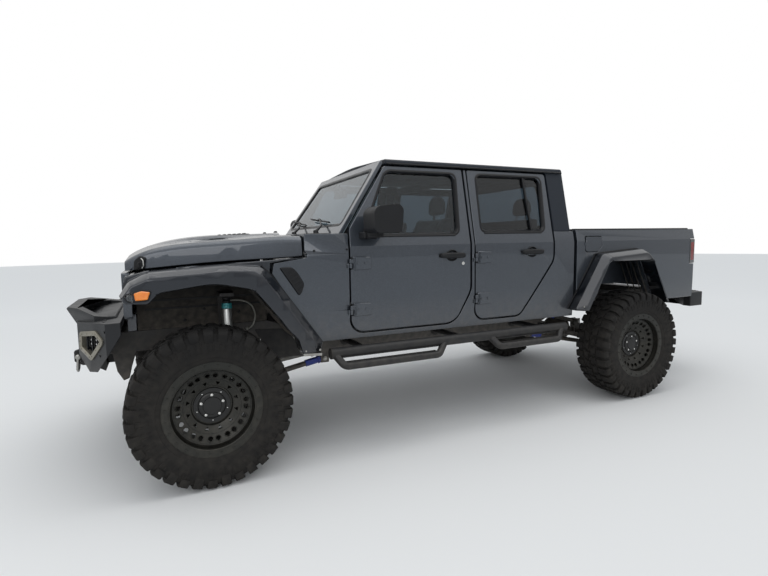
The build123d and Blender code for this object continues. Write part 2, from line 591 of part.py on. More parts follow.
def cab_tub():
    y_in = SKIN_Y - DOOR_T
    side = side_slab(CAB_REAR_X, COWL_X, SILL_Z, CAB_TOP_Z, DOOR_T, DOOR_T)
    side += prism([(COWL_X - 100, 1292), (COWL_X - 1, 1292), (-410, 1262), (-395, 1200), (-655, 790), (-690, SILL_Z),
                   (COWL_X - 100, SILL_Z)], "Y", SKIN_Y - 40, SKIN_Y)
    for which in ("front", "rear"):
        side -= prism(door_outline(which, GAP), "Y", 600, 900)
    side -= prism([(DOOR_X + 8, SKIN_Y + 1), (COWL_X + 1, HOOD[0][1] + 4), (COWL_X + 1, 830), (DOOR_X + 8, 830)],
                  "Z", COWL_LINE_Z, CAB_TOP_Z + 10)
    post = side_slab(B_POST_X - 10, B_POST_X + 10, SILL_Z, EAVES_Z - 8, DOOR_T + 30, PILLAR_T + 30)
    inner = side_slab(B_POST_X - 55, B_POST_X + 55, SILL_Z, EAVES_Z - 8, 40, 30, inset=DOOR_T + 12)
    sill = block(CAB_REAR_X, DOOR_X, y_in - 52, y_in - 12, SILL_Z, FLOOR_Z + FLOOR_T)
    sill += block(CAB_REAR_X, DOOR_X, y_in - 13, y_in + 1, SILL_Z, SILL_Z + 25)
    side += post + inner + sill
    for which in ("front", "rear"):
        for z in HINGE_Z[which]:
            side += hinge_leaf(which, z, False)
    made = both_sides(side)
    made += block(CAB_REAR_X, FIREWALL_X, -y_in + 12, y_in - 12, FLOOR_Z, FLOOR_Z + FLOOR_T)
    made += block(FIREWALL_X, FIREWALL_X + WALL, -y_in - 1, y_in + 1, FLOOR_Z, CAB_TOP_Z)
    made += block(COWL_X - WALL, COWL_X, -y_in - 1, y_in + 1, 1000, CAB_TOP_Z)
    made += block(FIREWALL_X, COWL_X, -y_in - 2, y_in + 2, CAB_TOP_Z - 45, CAB_TOP_Z)
    x, z = HOOD_AXIS
    made -= both_sides(rod((x, 464, z), (x, 530.3, z), 12))
    made += both_sides(hood_knuckle(530.6, 590, -30))
    made += block(CAB_REAR_X, CAB_REAR_X + 40, -y_in, y_in, FLOOR_Z, CAB_TOP_Z)
    return made


SCREEN_FOOT = (-852.0, CAB_TOP_Z + SEAT_GAP)     # x, z of the frame's lower front edge
SCREEN_HEAD = (-1205.0, 1950.0)
SCREEN_HALF = (752.0, 668.0)                     # half widths at foot and head
SCREEN_T = 26.0
SCREEN_BORDER = (70.0, 62.0, 66.0)               # foot, head and pillar widths


def screen_plane():
    (x0, z0), (x1, z1) = SCREEN_FOOT, SCREEN_HEAD
    run, rise = x1 - x0, z1 - z0
    return Plane(origin=(x0, 0, z0), x_dir=(0, 1, 0), z_dir=(rise, 0, -run)), hypot(run, rise)


def screen_outline(inset, length):
    """Corners of the windscreen opening or frame in its own plane."""
    foot, head = SCREEN_HALF
    low, high, pillar = [b * inset for b in SCREEN_BORDER]
    r = 45 if inset else 12
    return [(-foot + pillar, low, r), (foot - pillar, low, r), (head - pillar, length - high, r), (-head + pillar, length - high, r)]


def screen_piece(inset, depth_low, depth_high):
    plane, length = screen_plane()
    corners = screen_outline(inset, length)
    flat = rounded_face(corners, lambda u, v: plane.from_local_coords((u, v, depth_low)))
    return extrude(flat, amount=depth_high - depth_low, dir=plane.z_dir)


def windscreen_frame():
    made = screen_piece(0, -SCREEN_T, 0) - screen_piece(1, -SCREEN_T - 10, 10)
    return made - block(-1400, -600, -900, 900, 1300, CAB_TOP_Z + SEAT_GAP)


ROOF_X = (SCREEN_HEAD[0] - 34, -2866.0)
ROOF_CROWN = 28.0


def hardtop():
    front, back = ROOF_X
    top = EAVES_Z + 42
    y_edge = EAVES_Y + 3
    section = [(-y_edge, EAVES_Z + 6), (-y_edge + 4, top, 22), (0, top + ROOF_CROWN, 4000), (y_edge - 4, top, 22), (y_edge, EAVES_Z + 6)]
    made = prism(section, "X", back, front)
    side = side_slab(back, DOOR_END_X - 1.35 * GAP, CAB_TOP_Z + SEAT_GAP, EAVES_Z + 7, PILLAR_T, PILLAR_T)
    made += both_sides(side)
    rear = prism([(-skin_y(1443) + 20, CAB_TOP_Z + SEAT_GAP), (-EAVES_Y + 20, EAVES_Z + 7), (EAVES_Y - 20, EAVES_Z + 7),
                  (skin_y(1443) - 20, CAB_TOP_Z + SEAT_GAP)], "X", back, back + 34)
    made += rear - prism(REAR_WINDOW, "X", back - 5, back + 50)
    return made


REAR_WINDOW = [(-560, 1500, 50), (560, 1500, 50), (530, 1850, 50), (-530, 1850, 50)]


def fixed_glass():
    made = screen_piece(1, -14, -8)
    return made + prism(REAR_WINDOW, "X", ROOF_X[1] + 12, ROOF_X[1] + 18)


# ================================================================ front end
COWL_LINE_Z = 1310.0          # above it the side tapers in to meet the bonnet
HOOD = [  # station, half width, underside, top at the middle, shoulder radius
    (COWL_X + GAP, 742, 1302, 1452, 50),
    (-300, 706, 1288, 1444, 48),
    (80, 655, 1268, 1420, 46),
    (320, 620, 1248, 1372, 40),
    (418, 590, 1240, 1318, 26),
]


def hood_section(x, half, low, top, r, inset):
    w, t = half - inset, top - inset
    edge = t - 24
    low = low - (40 if inset else 0)
    corners = [(-w, low, 0), (-w + 8, edge, r), (0, t, 900), (w - 8, edge, r), (w, low, 0)]
    return rounded_face(corners, lambda y, z: (x, y, z))


def hood():
    outer = loft([hood_section(*row, 0) for row in HOOD])
    rows = [row if i < len(HOOD) - 1 else (row[0] - 22, row[1], row[2], row[3] + 8, row[4]) for i, row in enumerate(HOOD)]
    inner = loft([hood_section(row[0], *row[1:], 20) for row in [(rows[0][0] - 5, *rows[0][1:])] + rows[1:]])
    bulge = loft([bulge_section(*row) for row in BULGE])
    return outer - inner + bulge + both_sides(hood_knuckle(470, 530, 24))


BULGE = [  # station, half width, top of the bonnet at the middle
    (-560, 345, 1451),
    (-300, 325, 1444),
    (80, 285, 1420),
    (300, 250, 1377.5),
]
BULGE_RISE = 13.0             # above the bonnet
BULGE_SINK = 13.0             # into its skin


def bulge_section(x, half, top):
    """Raised middle of the bonnet; it runs out to nothing at the front."""
    rise = BULGE_RISE if x < BULGE[-1][0] else 2.0
    low = top - BULGE_SINK
    corners = [(-half, low, 0), (-half + 40, top + rise - 7, 30), (0, top + rise, 900), (half - 40, top + rise - 7, 30),
               (half, low, 0)]
    return rounded_face(corners, lambda y, z: (x, y, z))


def hood_knuckle(y0, y1, reach):
    """One half of a bonnet hinge; reach is forward on the bonnet and backward on the cowl."""
    x, z = HOOD_AXIS
    return rod((x, y0, z), (x, y1, z), HOOD_PIN_R) + block(x, x + reach, y0, y1, z - HOOD_PIN_R, z + 2)


HOOD_AXIS = (COWL_X + 6, 1438.0)
HOOD_PIN_R = 5.5


def grille():
    half, low, high = 585.0, 950.0, 1228.0
    made = prism([(-half, low, 20), (half, low, 20), (half + 8, high, 12), (-half - 8, high, 12)], "X", 392, 440)
    for s in (1, -1):
        made -= rod((300, s * 478, 1118), (500, s * 478, 1118), 92)
    for i in range(9):
        y = (i - 4) * 78.0
        made -= prism([(y - 22, 1000, 18), (y + 22, 1000, 18), (y + 22, 1205, 18), (y - 22, 1205, 18)], "X", 380, 460)
    made += both_sides(block(380, 432, RAIL_IN_Y, RAIL_OUT_Y, 855 + SEAT_GAP, 960))
    return made


def front_lamps():
    lamp = rod((395, 478, 1118), (438, 478, 1118), 91.7)
    marker = prism([(392, 1092, 8), (300, 1096, 8), (285, 1140, 8), (330, 1148, 6), (412, 1122, 8)], "Y", 930.3, 944)
    return both_sides(lamp + marker)


# Side views of the flares as x, z, radius, and how far each corner of the outer face moves in from them.
FRONT_FLARE = [(440, 1120, 10), (395, 1190, 40), (300, 1236, 90), (-140, 1262, 300), (-320, 1250, 70),
               (-385, 1185, 120), (-690, 760, 20), (-672, 700, 10), (-540, 708, 10), (-518, 790, 30),
               (-262, 1118, 110), (-40, 1166, 400), (245, 1128, 60), (300, 1070, 30), (420, 1080, 20)]
FRONT_SLANT = {0: (-16, -6), 1: (-16, -18), 2: (-8, -26), 3: (2, -28), 4: (14, -27), 5: (50, -18), 6: (60, -4), 7: (52, 4)}
REAR_FLARE = [(645, 792, 10), (345, 1252, 70), (-150, 1284, 70), (-235, 1215, 60), (-458, 800, 10), (-412, 792, 5),
              (-205, 1190, 60), (320, 1190, 60), (548, 792, 10)]
REAR_SLANT = {0: (-42, 2), 1: (-30, -30), 2: (8, -32), 3: (30, -22), 4: (30, 2)}
FLARE_OUT = 130.0
FLARE_FLAT = 0.55             # share of the width with the full outline


def flare(outline, slant, x0, width):
    """One arch: straight out from the body, then slanting in to a narrower outer face."""
    full = [(x0 + x, z, r) for x, z, r in outline]
    narrow = [(x0 + x + slant.get(i, (0, 0))[0], z + slant.get(i, (0, 0))[1], r) for i, (x, z, r) in enumerate(outline)]
    y0, y2 = SKIN_Y + SEAT_GAP, SKIN_Y + width
    y1 = y0 + (y2 - y0) * FLARE_FLAT
    outer = loft([rounded_face(full, lambda u, v: (u, y1, v)), rounded_face(narrow, lambda u, v: (u, y2, v))], ruled=True)
    return prism(full, "Y", y0, y1) + outer


def flares():
    """The four wheel arches; the front ones have a deck in to the bonnet."""
    deck = prism([(430, 1128), (412, 1218), (320, 1240), (80, 1260), (-300, 1280), (-600, 1294), (-600, 1250), (-360, 1200),
                  (280, 1200), (400, 1120)], "Y", LINER_IN_Y, SKIN_Y + 1)
    deck -= prism([(-660, 1100), (-390, 1202), (-386, 1264), (-408, 1266), (-622, 1295), (-622, 1330), (-700, 1330)],
                  "Y", SKIN_Y - 41, SKIN_Y + 2)
    front = flare(FRONT_FLARE, FRONT_SLANT, 0, FLARE_OUT)
    rear = flare(REAR_FLARE, REAR_SLANT, REAR_X, FLARE_OUT + 10)
    return both_sides(front + deck) + both_sides(rear)


LINER = [(-518, 790), (-262, 1118), (-40, 1166), (245, 1128)]      # x, z of the inner lip of the front arch


def wheel_liners():
    """Plastic inner arches of the front wheels, with a rib up to the wing."""
    t = 14.0
    low = [(x, z, 60 if 0 < i < 3 else 0) for i, (x, z) in enumerate(LINER)]
    high = [(x - t * (0.8 if i < 2 else -0.3), z + t, 60 if 0 < i < 3 else 0) for i, (x, z) in enumerate(LINER)]
    made = prism(low + high[::-1], "Y", LINER_IN_Y, SKIN_Y)
    made += prism([(-262, 1125), (-262, WING_LOW_Z), (240, WING_LOW_Z), (240, 1135)], "Y", LINER_IN_Y, LINER_IN_Y + 12)
    rail_top = RAIL_LINE[0][1] + RAIL_H / 2 + SEAT_GAP
    wall = prism([(-424, rail_top), (375, rail_top), (375, 1190), (300, 1225), (COWL_X + 10, 1262), (COWL_X + 10, 1010), (-424, 900)],
                 "Y", RAIL_OUT_Y - 14, RAIL_OUT_Y)
    return both_sides(made) + both_sides(wall)


LINER_IN_Y = 598.0
WING_LOW_Z = 1199.7


# ================================================================ bed
def load_bed():
    arch = [(REAR_X + x, z) for x, z in ((560, 700), (560, 800), (338, 1200), (-200, 1200), (-405, 800), (-405, 700))]
    shell = block(BED_REAR_X, BED_FRONT_X, -SKIN_Y, SKIN_Y, BED_BOTTOM_Z, RAIL_Z)
    tumble = prism([(SKIN_Y, BELT_Z), (skin_y(RAIL_Z + 1), RAIL_Z + 1), (SKIN_Y + 5, RAIL_Z + 1), (SKIN_Y + 5, BELT_Z)],
                   "X", BED_REAR_X, BED_FRONT_X)
    shell -= both_sides(tumble)
    y_in = SKIN_Y - BED_WALL
    inside = block(BED_REAR_X - 1, BED_FRONT_X - 45, -y_in, y_in, BED_FLOOR_Z, RAIL_Z + 1)
    under = block(BED_REAR_X + 30, BED_FRONT_X - 40, -y_in + 35, y_in - 35, BED_BOTTOM_Z - 1, BED_FLOOR_Z - BED_FLOOR_T)
    house = prism([(REAR_X + 420, BED_FLOOR_Z - 40), (REAR_X + 330, 1240, 40), (REAR_X - 330, 1240, 40), (REAR_X - 420, BED_FLOOR_Z - 40)],
                  "Y", 572, y_in + 1)
    hollow = prism([(REAR_X + 405, BED_FLOOR_Z - 200), (REAR_X + 405, BED_FLOOR_Z - 40), (REAR_X + 318, 1225, 35), (REAR_X - 318, 1225, 35),
                    (REAR_X - 405, BED_FLOOR_Z - 40), (REAR_X - 405, BED_FLOOR_Z - 200)], "Y", 587, y_in + 2)
    made = shell - inside + both_sides(house)
    made -= both_sides(hollow)
    made -= under + block(BED_REAR_X - 1, BED_REAR_X + 31, -450, 450, BED_BOTTOM_Z - 1, 872)
    made -= both_sides(prism(arch, "Y", 590, SKIN_Y + 50))
    made -= block(BED_REAR_X - 1, BED_REAR_X + 70, -GATE_HALF - 8, GATE_HALF + 8, GATE_Z[0] - 10, RAIL_Z + 1)
    made -= both_sides(block(BED_REAR_X - 1, BED_REAR_X + LAMP_D, SKIN_Y - 62, SKIN_Y + 1, LAMP_Z[0], LAMP_Z[1]))
    x, z = GATE_AXIS
    made -= both_sides(rod((x, GATE_HALF, z), (x, GATE_HALF + 46, z), GATE_PIN_R + RUN_FIT))
    return made - prism(fuel_outline(5.5), "Y", SKIN_Y - 30, SKIN_Y + 10) + fuel_hinge(False)


GATE_HALF = 716.0
GATE_Z = (962.0, 1448.0)
GATE_T = 55.0
GATE_AXIS = (BED_REAR_X + 22, GATE_Z[0] + 28)
GATE_PIN_R = 9.0
LAMP_Z = (1125.0, 1362.0)
LAMP_D = 62.0


def fuel_outline(grow):
    low_x, high_x = -3215.0, -3030.0
    return [(high_x + grow, 1394 + grow, 14), (high_x + grow, 1270 - grow, 30), (low_x + 45, 1270 - grow, 20),
            (low_x - grow, 1312, 20), (low_x - grow, 1394 + grow, 14)]


def tailgate():
    x0 = BED_REAR_X - 6
    made = block(x0, x0 + GATE_T, -GATE_HALF, GATE_HALF, GATE_Z[0], GATE_Z[1])
    made = fillet(made.edges().filter_by(Axis.Y), 12)
    x, z = GATE_AXIS
    made += both_sides(rod((x, GATE_HALF - 20, z), (x, GATE_HALF + 44, z), GATE_PIN_R))
    made -= prism([(-120, 1330, 12), (120, 1330, 12), (120, 1385, 12), (-120, 1385, 12)], "X", x0 - 1, x0 + 18)
    return made


FUEL_HINGE = (-3027.0, SKIN_Y + 3, 1345.0)


def fuel_hinge(on_door):
    """One half of the small hinge at the front edge of the fuel door."""
    x, y, z = FUEL_HINGE
    low, high = (z + 0.3, z + 20) if on_door else (z - 20, z - 0.3)
    reach = -14 if on_door else 12
    return rod((x, y, low), (x, y, high), 3.5) + block(min(x, x + reach), max(x, x + reach), SKIN_Y - 1, y + 2, low, high)


def fuel_door():
    return prism(fuel_outline(0), "Y", SKIN_Y - 9, SKIN_Y) + fuel_hinge(True)


def tail_lamps():
    return both_sides(block(BED_REAR_X - 4, BED_REAR_X + LAMP_D - SEAT_GAP, SKIN_Y - 62 + SEAT_GAP, SKIN_Y + 3,
                            LAMP_Z[0] + SEAT_GAP, LAMP_Z[1] - SEAT_GAP, 3))


# ================================================================ inside
FLOOR_TOP = FLOOR_Z + FLOOR_T
SEAT_Y = 385.0
FRONT_SEAT_X, REAR_SEAT_X = -1745.0, -2600.0     # foot of each seat back


def one_seat(x, y0, y1):
    """Cushion, back and headrests; x is the back's foot."""
    low = FLOOR_TOP + SEAT_GAP
    made = prism([(x, low, 0), (x + 470, low, 0), (x + 520, low + 300, 40), (x + 60, low + 270, 20)], "Y", y0, y1)
    made += prism([(x - 10, low + 180, 10), (x + 120, low + 200, 20), (x - 20, low + 740, 40), (x - 115, low + 730, 30)], "Y", y0, y1)
    return made


def headrest(x, y):
    low = FLOOR_TOP + 700
    return prism([(x - 130, low, 15), (x - 30, low, 20), (x - 40, low + 215, 40), (x - 125, low + 205, 35)], "Y", y - 125, y + 125)


def seats():
    front = one_seat(FRONT_SEAT_X, SEAT_Y - 245, SEAT_Y + 245) + headrest(FRONT_SEAT_X, SEAT_Y)
    rear = one_seat(REAR_SEAT_X, -610, 610)
    for y in (-400.0, 400.0):
        rear += headrest(REAR_SEAT_X, y)
    return both_sides(front) + rear


STEER_C = (-1215.0, SEAT_Y, 1330.0)
STEER_TILT = 25.0


def dashboard():
    x = FIREWALL_X - SEAT_GAP
    made = prism([(x, 1130), (x, 1425, 10), (-1010, 1425, 40), (-1120, 1360, 40), (-1110, 1190, 30), (-1040, 1130, 10)], "Y", -640, 640)
    made += prism([(-1050, FLOOR_TOP + SEAT_GAP), (-1050, 1150), (-1110, 1150), (-1250, 1000, 40), (-1700, 1000, 40), (-1700, FLOOR_TOP + SEAT_GAP)],
                  "Y", -105, 105)
    along = Vector(cos(radians(STEER_TILT)), 0, -sin(radians(STEER_TILT)))
    return made + rod(Vector(*STEER_C) + along * (52 + SEAT_GAP), Vector(*STEER_C) + along * 160, 38)


def steering_wheel():
    plane = Plane(origin=STEER_C, x_dir=(0, 1, 0), z_dir=(-cos(radians(STEER_TILT)), 0, sin(radians(STEER_TILT))))
    made = Torus(178, 15) + Pos(0, 0, -12) * Cylinder(62, 40)
    for angle in (0, 180, 270):
        made += Rotation(0, 0, angle) * (Pos(112, 0, -4) * Box(125, 38, 14))
    made += Pos(0, 0, -38) * Cylinder(22, 28)
    return plane * made


def sport_bar():
    """Padded tubes round the cabin: B hoop, rear legs and roof rails."""
    y_top, y_low, z_top, r = 515.0, 625.0, 1862.0, 32.0
    low = FLOOR_TOP + SEAT_GAP
    hoop_x, rear_x = B_POST_X - 40, CAB_REAR_X + 115
    hoop = [(hoop_x, -y_low, low), (hoop_x, -y_low, 1420), (hoop_x, -y_top, z_top), (hoop_x, y_top, z_top),
            (hoop_x, y_low, 1420), (hoop_x, y_low, low)]
    made = bent_rod(hoop, r)
    made += both_sides(bent_rod([(hoop_x, y_top, z_top), (rear_x + 30, y_top, z_top), (rear_x, y_low, 1440), (rear_x, y_low, low)], r))
    return made + both_sides(rod((hoop_x, y_top, z_top), (SCREEN_HEAD[0] - 75, y_top, z_top), r))


# ================================================================ export
def all_parts():
    """Node name to the function that makes it."""
    table = {
        "frame": frame, "cross_members": cross_members, "suspension_towers": suspension_towers,
        "body_mounts": body_mounts, "steering_box": steering_box, "front_bumper": front_bumper, "rear_bumper": rear_bumper,
        "front_axle": front_axle, "rear_axle": rear_axle, "suspension_links": suspension_links, "coil_springs": coil_springs,
        "dampers": dampers, "engine": engine, "drivetrain": drivetrain, "exhaust": exhaust,
        "fuel_tank": fuel_tank, "side_steps": side_steps, "cab_tub": cab_tub, "windscreen_frame": windscreen_frame,
        "hardtop": hardtop, "fixed_glass": fixed_glass, "hood": hood, "grille": grille, "front_lamps": front_lamps,
        "flares": flares, "wheel_liners": wheel_liners, "load_bed": load_bed, "tailgate": tailgate,
        "fuel_door": fuel_door, "tail_lamps": tail_lamps, "seats": seats, "dashboard": dashboard,
        "steering_wheel": steering_wheel, "sport_bar": sport_bar, "tie_rod": tie_rod, "drag_link": drag_link,
        "pitman_arm": pitman_arm,
    }
    for corner, (which, side) in DOORS.items():
        table[f"door_{corner}"] = lambda w=which, s=side: door_panel(w, s)
        table[f"door_{corner}_glass"] = lambda w=which, s=side: door_glass(w, s)
        x = 0.0 if which == "front" else REAR_X
        table[f"tyre_{corner}"] = lambda x=x, s=side: tyre(x, s)
        table[f"rim_{corner}"] = lambda x=x, s=side: rim(x, s)
        if which == "front":
            table[f"mirror_{corner}"] = lambda s=side: mirror_unit(s)
            table[f"knuckle_{corner}"] = lambda s=side: knuckle(s)
    return table


def main():
    os.makedirs("parts", exist_ok=True)
    for name, make in all_parts().items():
        shape = Pos(X_SHIFT, 0, 0) * make()
        export_step(shape, f"parts/{name}.step")


if __name__ == "__main__":
    main()
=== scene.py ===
import json
from math import cos, pi, radians, sin

import bmesh
import bpy
from mathutils import Matrix, Vector


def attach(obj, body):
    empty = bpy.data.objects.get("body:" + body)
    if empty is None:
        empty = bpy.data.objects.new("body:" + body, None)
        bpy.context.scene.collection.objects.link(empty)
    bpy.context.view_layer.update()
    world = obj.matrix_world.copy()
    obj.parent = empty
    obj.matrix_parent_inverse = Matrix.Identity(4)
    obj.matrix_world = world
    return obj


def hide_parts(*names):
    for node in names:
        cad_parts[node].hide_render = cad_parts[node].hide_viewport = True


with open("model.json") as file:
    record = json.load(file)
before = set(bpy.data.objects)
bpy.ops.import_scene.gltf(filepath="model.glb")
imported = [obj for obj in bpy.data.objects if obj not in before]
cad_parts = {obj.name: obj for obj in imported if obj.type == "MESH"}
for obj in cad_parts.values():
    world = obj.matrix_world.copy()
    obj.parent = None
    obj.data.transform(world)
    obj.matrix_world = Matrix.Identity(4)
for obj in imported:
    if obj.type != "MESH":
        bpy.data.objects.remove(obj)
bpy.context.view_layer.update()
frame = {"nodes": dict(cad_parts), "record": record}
NODES = frame["nodes"]

# ---------------------------------------------------------------- places, in metres
AXLE_F, AXLE_R = 1.9815, -1.5065      # x of the axles
HUB_Z = 0.458
HALF_TRACK = 0.857
WHEELS = {"fl": (AXLE_F, 1), "fr": (AXLE_F, -1), "rl": (AXLE_R, 1), "rr": (AXLE_R, -1)}
WHEELBASE = 3.488
SKIN = 0.8                            # y of the body side, from BARREL_Z up to BELT_Z
BELT_Z, ROOF_Z, ROOF_Y = 1.358, 1.918, 0.675      # above the belt the side leans in to the roof's edge
BARREL_Z, BARREL_RUN, BARREL_IN = 1.0, 0.26, 0.01     # below this the side draws in, by so much over the run
INNER_WING = 0.4305                   # y of the inner wing's outer face
FLOOR = 0.8303                        # z of the cabin floor
HOSE_R, HOSE_LENGTH = 0.0055, 0.38    # hose of the front dampers

CAMERA_AT = (2.2259, 3.8272, 1.3943)
CAMERA_TURN = (0.433168253, 0.0972674817, -0.0164674481)      # yaw, pitch and roll, in radians
CAMERA_LENS, CAMERA_SENSOR = 22.937, 36.0                     # in millimetres


def at(x, y, z):
    """A point whose x is measured from the front axle."""
    return Vector((x + AXLE_F, y, z))


def angles(count):
    """Equal steps round a full turn."""
    return [2 * pi * k / count for k in range(count)]


def rect(u0, v0, u1, v1):
    """The corners of a rectangle."""
    return [(u0, v0), (u1, v0), (u1, v1), (u0, v1)]


def turned(degrees, axis="Y"):
    return Matrix.Rotation(radians(degrees), 3, axis)


def add_object(name, data):
    ob = bpy.data.objects.new(name, data)
    bpy.context.collection.objects.link(ob)
    return ob


# ================================================================ camera, light, floor
def place_camera():
    yaw, pitch, roll = CAMERA_TURN
    look = Vector((-sin(yaw) * cos(pitch), -cos(yaw) * cos(pitch), -sin(pitch)))
    right = look.cross(Vector((0, 0, 1))).normalized()
    up = right.cross(look)
    across = right * cos(roll) + up * sin(roll)
    above = up * cos(roll) - right * sin(roll)
    data = bpy.data.cameras.new("camera")
    data.sensor_fit = "HORIZONTAL"
    data.sensor_width = CAMERA_SENSOR
    data.lens = CAMERA_LENS
    data.clip_end = 200.0
    cam = add_object("camera", data)
    cam.matrix_world = Matrix.Translation(CAMERA_AT) @ Matrix((across, above, -look)).transposed().to_4x4()
    bpy.context.scene.camera = cam


def area_light(name, where, target, size, power, color):
    data = bpy.data.lights.new(name, "AREA")
    data.shape = "RECTANGLE"
    data.size, data.size_y = size
    data.energy = power
    data.color = color
    lamp = add_object(name, data)
    lamp.location = where
    lamp.rotation_euler = (Vector(target) - Vector(where)).to_track_quat("-Z", "Y").to_euler()


def shader_node(tree, kind, values=None, **settings):
    """A new shader node with its settings and input values."""
    made = tree.nodes.new("ShaderNode" + kind)
    for key, value in settings.items():
        setattr(made, key, value)
    for key, value in (values or {}).items():
        made.inputs[key].default_value = value
    return made


def light_stage():
    """Soft light all round; the camera, reflections and glass see white, greyer low down in reflections."""
    world = bpy.data.worlds.new("studio")
    bpy.context.scene.world = world
    world.use_nodes = True
    tree = world.node_tree
    tree.nodes.clear()
    out = shader_node(tree, "OutputWorld")
    mix = shader_node(tree, "MixShader")
    soft = shader_node(tree, "Background", {"Color": (0.93, 0.97, 1.0, 1), "Strength": 0.72})
    white = shader_node(tree, "Background", {"Color": (1, 1, 1, 1), "Strength": 1.0})
    path = shader_node(tree, "LightPath")
    seen = path.outputs["Is Camera Ray"]
    for name in ("Is Glossy Ray", "Is Transmission Ray"):
        most = shader_node(tree, "Math", operation="MAXIMUM")
        tree.links.new(seen, most.inputs[0])
        tree.links.new(path.outputs[name], most.inputs[1])
        seen = most.outputs[0]
    where = shader_node(tree, "TexCoord")
    apart = shader_node(tree, "SeparateXYZ")
    rise = shader_node(tree, "MapRange", {"From Min": -0.05, "From Max": 0.55, "To Min": 0.42, "To Max": 1.0})
    plain = shader_node(tree, "Mix", {"A": 1.0})
    for source, end in ((where.outputs["Generated"], apart.inputs[0]),
            (apart.outputs["Z"], rise.inputs["Value"]), (path.outputs["Is Glossy Ray"],
            plain.inputs["Factor"]), (rise.outputs["Result"], plain.inputs["B"]),
            (plain.outputs["Result"], white.inputs["Strength"]), (seen, mix.inputs[0]),
            (soft.outputs[0], mix.inputs[1]), (white.outputs[0], mix.inputs[2]),
            (mix.outputs[0], out.inputs[0])):
        tree.links.new(source, end)
    area_light("overhead", (0.5, 1.0, 6.5), (0.2, 0, 0.8), (9.0, 5.0), 150, (1.0, 0.99, 0.97))
    area_light("side", (4.5, 6.5, 3.6), (0.4, 0, 0.8), (4.0, 2.5), 60, (0.97, 0.98, 1.0))


def lay_floor():
    """A wide round floor, a little paler far away."""
    mesh = bpy.data.meshes.new("floor")
    rings, turns = (0.0, 4.0, 9.0, 40.0), 48
    verts = [(0, 0, 0)]
    faces = []
    for ring in rings[1:]:
        verts += [(ring * cos(a), ring * sin(a), 0) for a in angles(turns)]
    for i in range(turns):
        j = (i + 1) % turns
        faces.append((0, 1 + i, 1 + j))
        for k in range(len(rings) - 2):
            low, high = 1 + k * turns, 1 + (k + 1) * turns
            faces.append((low + i, high + i, high + j, low + j))
    mesh.from_pydata(verts, [], faces)
    ob = add_object("floor", mesh)
    ob.location.z = -0.001
    made = bpy.data.materials.new("floor")
    made.use_nodes = True
    tree = made.node_tree
    shader = tree.nodes["Principled BSDF"]
    shader.inputs["Roughness"].default_value = 0.9
    shader.inputs["Specular IOR Level"].default_value = 0.1
    coord = shader_node(tree, "TexCoord")
    reach = shader_node(tree, "VectorMath", operation="LENGTH")
    ramp = shader_node(tree, "MapRange", {"From Min": 3.0, "From Max": 9.0})
    tone = shader_node(tree, "Mix", {"A": (0.84, 0.84, 0.84, 1), "B": (0.97, 0.97, 0.97, 1)},
        data_type="RGBA")
    for source, end in ((coord.outputs["Object"], reach.inputs[0]),
            (reach.outputs["Value"], ramp.inputs["Value"]), (ramp.outputs["Result"], tone.inputs["Factor"]),
            (tone.outputs["Result"], shader.inputs["Base Color"])):
        tree.links.new(source, end)
    mesh.materials.append(made)


# ================================================================ materials
DUST = (0.19, 0.165, 0.135)


def finish(name, base, rough, metal=0.0, tone=None, scale=8.0, amount=0.5, grain=0.0, bump=0.1, depth=0.001,
        coat=0.0, coat_rough=0.04, spec=0.5, dust=0.0, dust_z=0.9, sheen=0.0, spread=0.06):
    """A procedural surface: two-tone noise in the colour, uneven gloss, a fine grain, and dust low down."""
    made = bpy.data.materials.new(name)
    made.use_nodes = True
    tree = made.node_tree
    link = tree.links.new
    shader = tree.nodes["Principled BSDF"]
    for key, value in (("Metallic", metal), ("Specular IOR Level", spec), ("Coat Weight", coat),
            ("Coat Roughness", coat_rough), ("Sheen Weight", sheen)):
        shader.inputs[key].default_value = value
    coord = shader_node(tree, "TexCoord")

    def noise(size, detail):
        texture = shader_node(tree, "TexNoise", {"Scale": size, "Detail": detail})
        link(coord.outputs["Object"], texture.inputs["Vector"])
        return texture.outputs["Fac"]

    def span(source, low, high, a, b):
        ramp = shader_node(tree, "MapRange", {"From Min": low, "From Max": high, "To Min": a, "To Max": b})
        link(source, ramp.inputs["Value"])
        return ramp.outputs["Result"]

    def blend(factor, a, b):
        mix = shader_node(tree, "Mix", data_type="RGBA")
        link(factor, mix.inputs["Factor"])
        for key, value in (("A", a), ("B", b)):
            if isinstance(value, tuple):
                mix.inputs[key].default_value = (*value, 1)
            else:
                link(value, mix.inputs[key])
        return mix.outputs["Result"]

    broad = noise(scale, 5.0)
    color = blend(span(broad, 0.35, 0.65, 0.0, amount), tuple(base), tuple(tone or [c * 1.35 for c in base]))
    if dust:
        split = shader_node(tree, "SeparateXYZ")
        link(coord.outputs["Object"], split.inputs[0])
        low = span(split.outputs["Z"], dust_z - 0.35, dust_z, dust, 0.0)
        speck = span(noise(26.0, 6.0), 0.3, 0.7, 0.25, 1.0)
        times = shader_node(tree, "Math", operation="MULTIPLY")
        link(low, times.inputs[0])
        link(speck, times.inputs[1])
        color = blend(times.outputs[0], color, DUST)
    link(color, shader.inputs["Base Color"])
    link(span(broad, 0.3, 0.7, max(0.02, rough - spread), min(1.0, rough + spread)),
        shader.inputs["Roughness"])
    if grain:
        rough_skin = shader_node(tree, "Bump", {"Strength": bump, "Distance": depth})
        link(noise(grain, 3.0), rough_skin.inputs["Height"])
        link(rough_skin.outputs["Normal"], shader.inputs["Normal"])
    return made


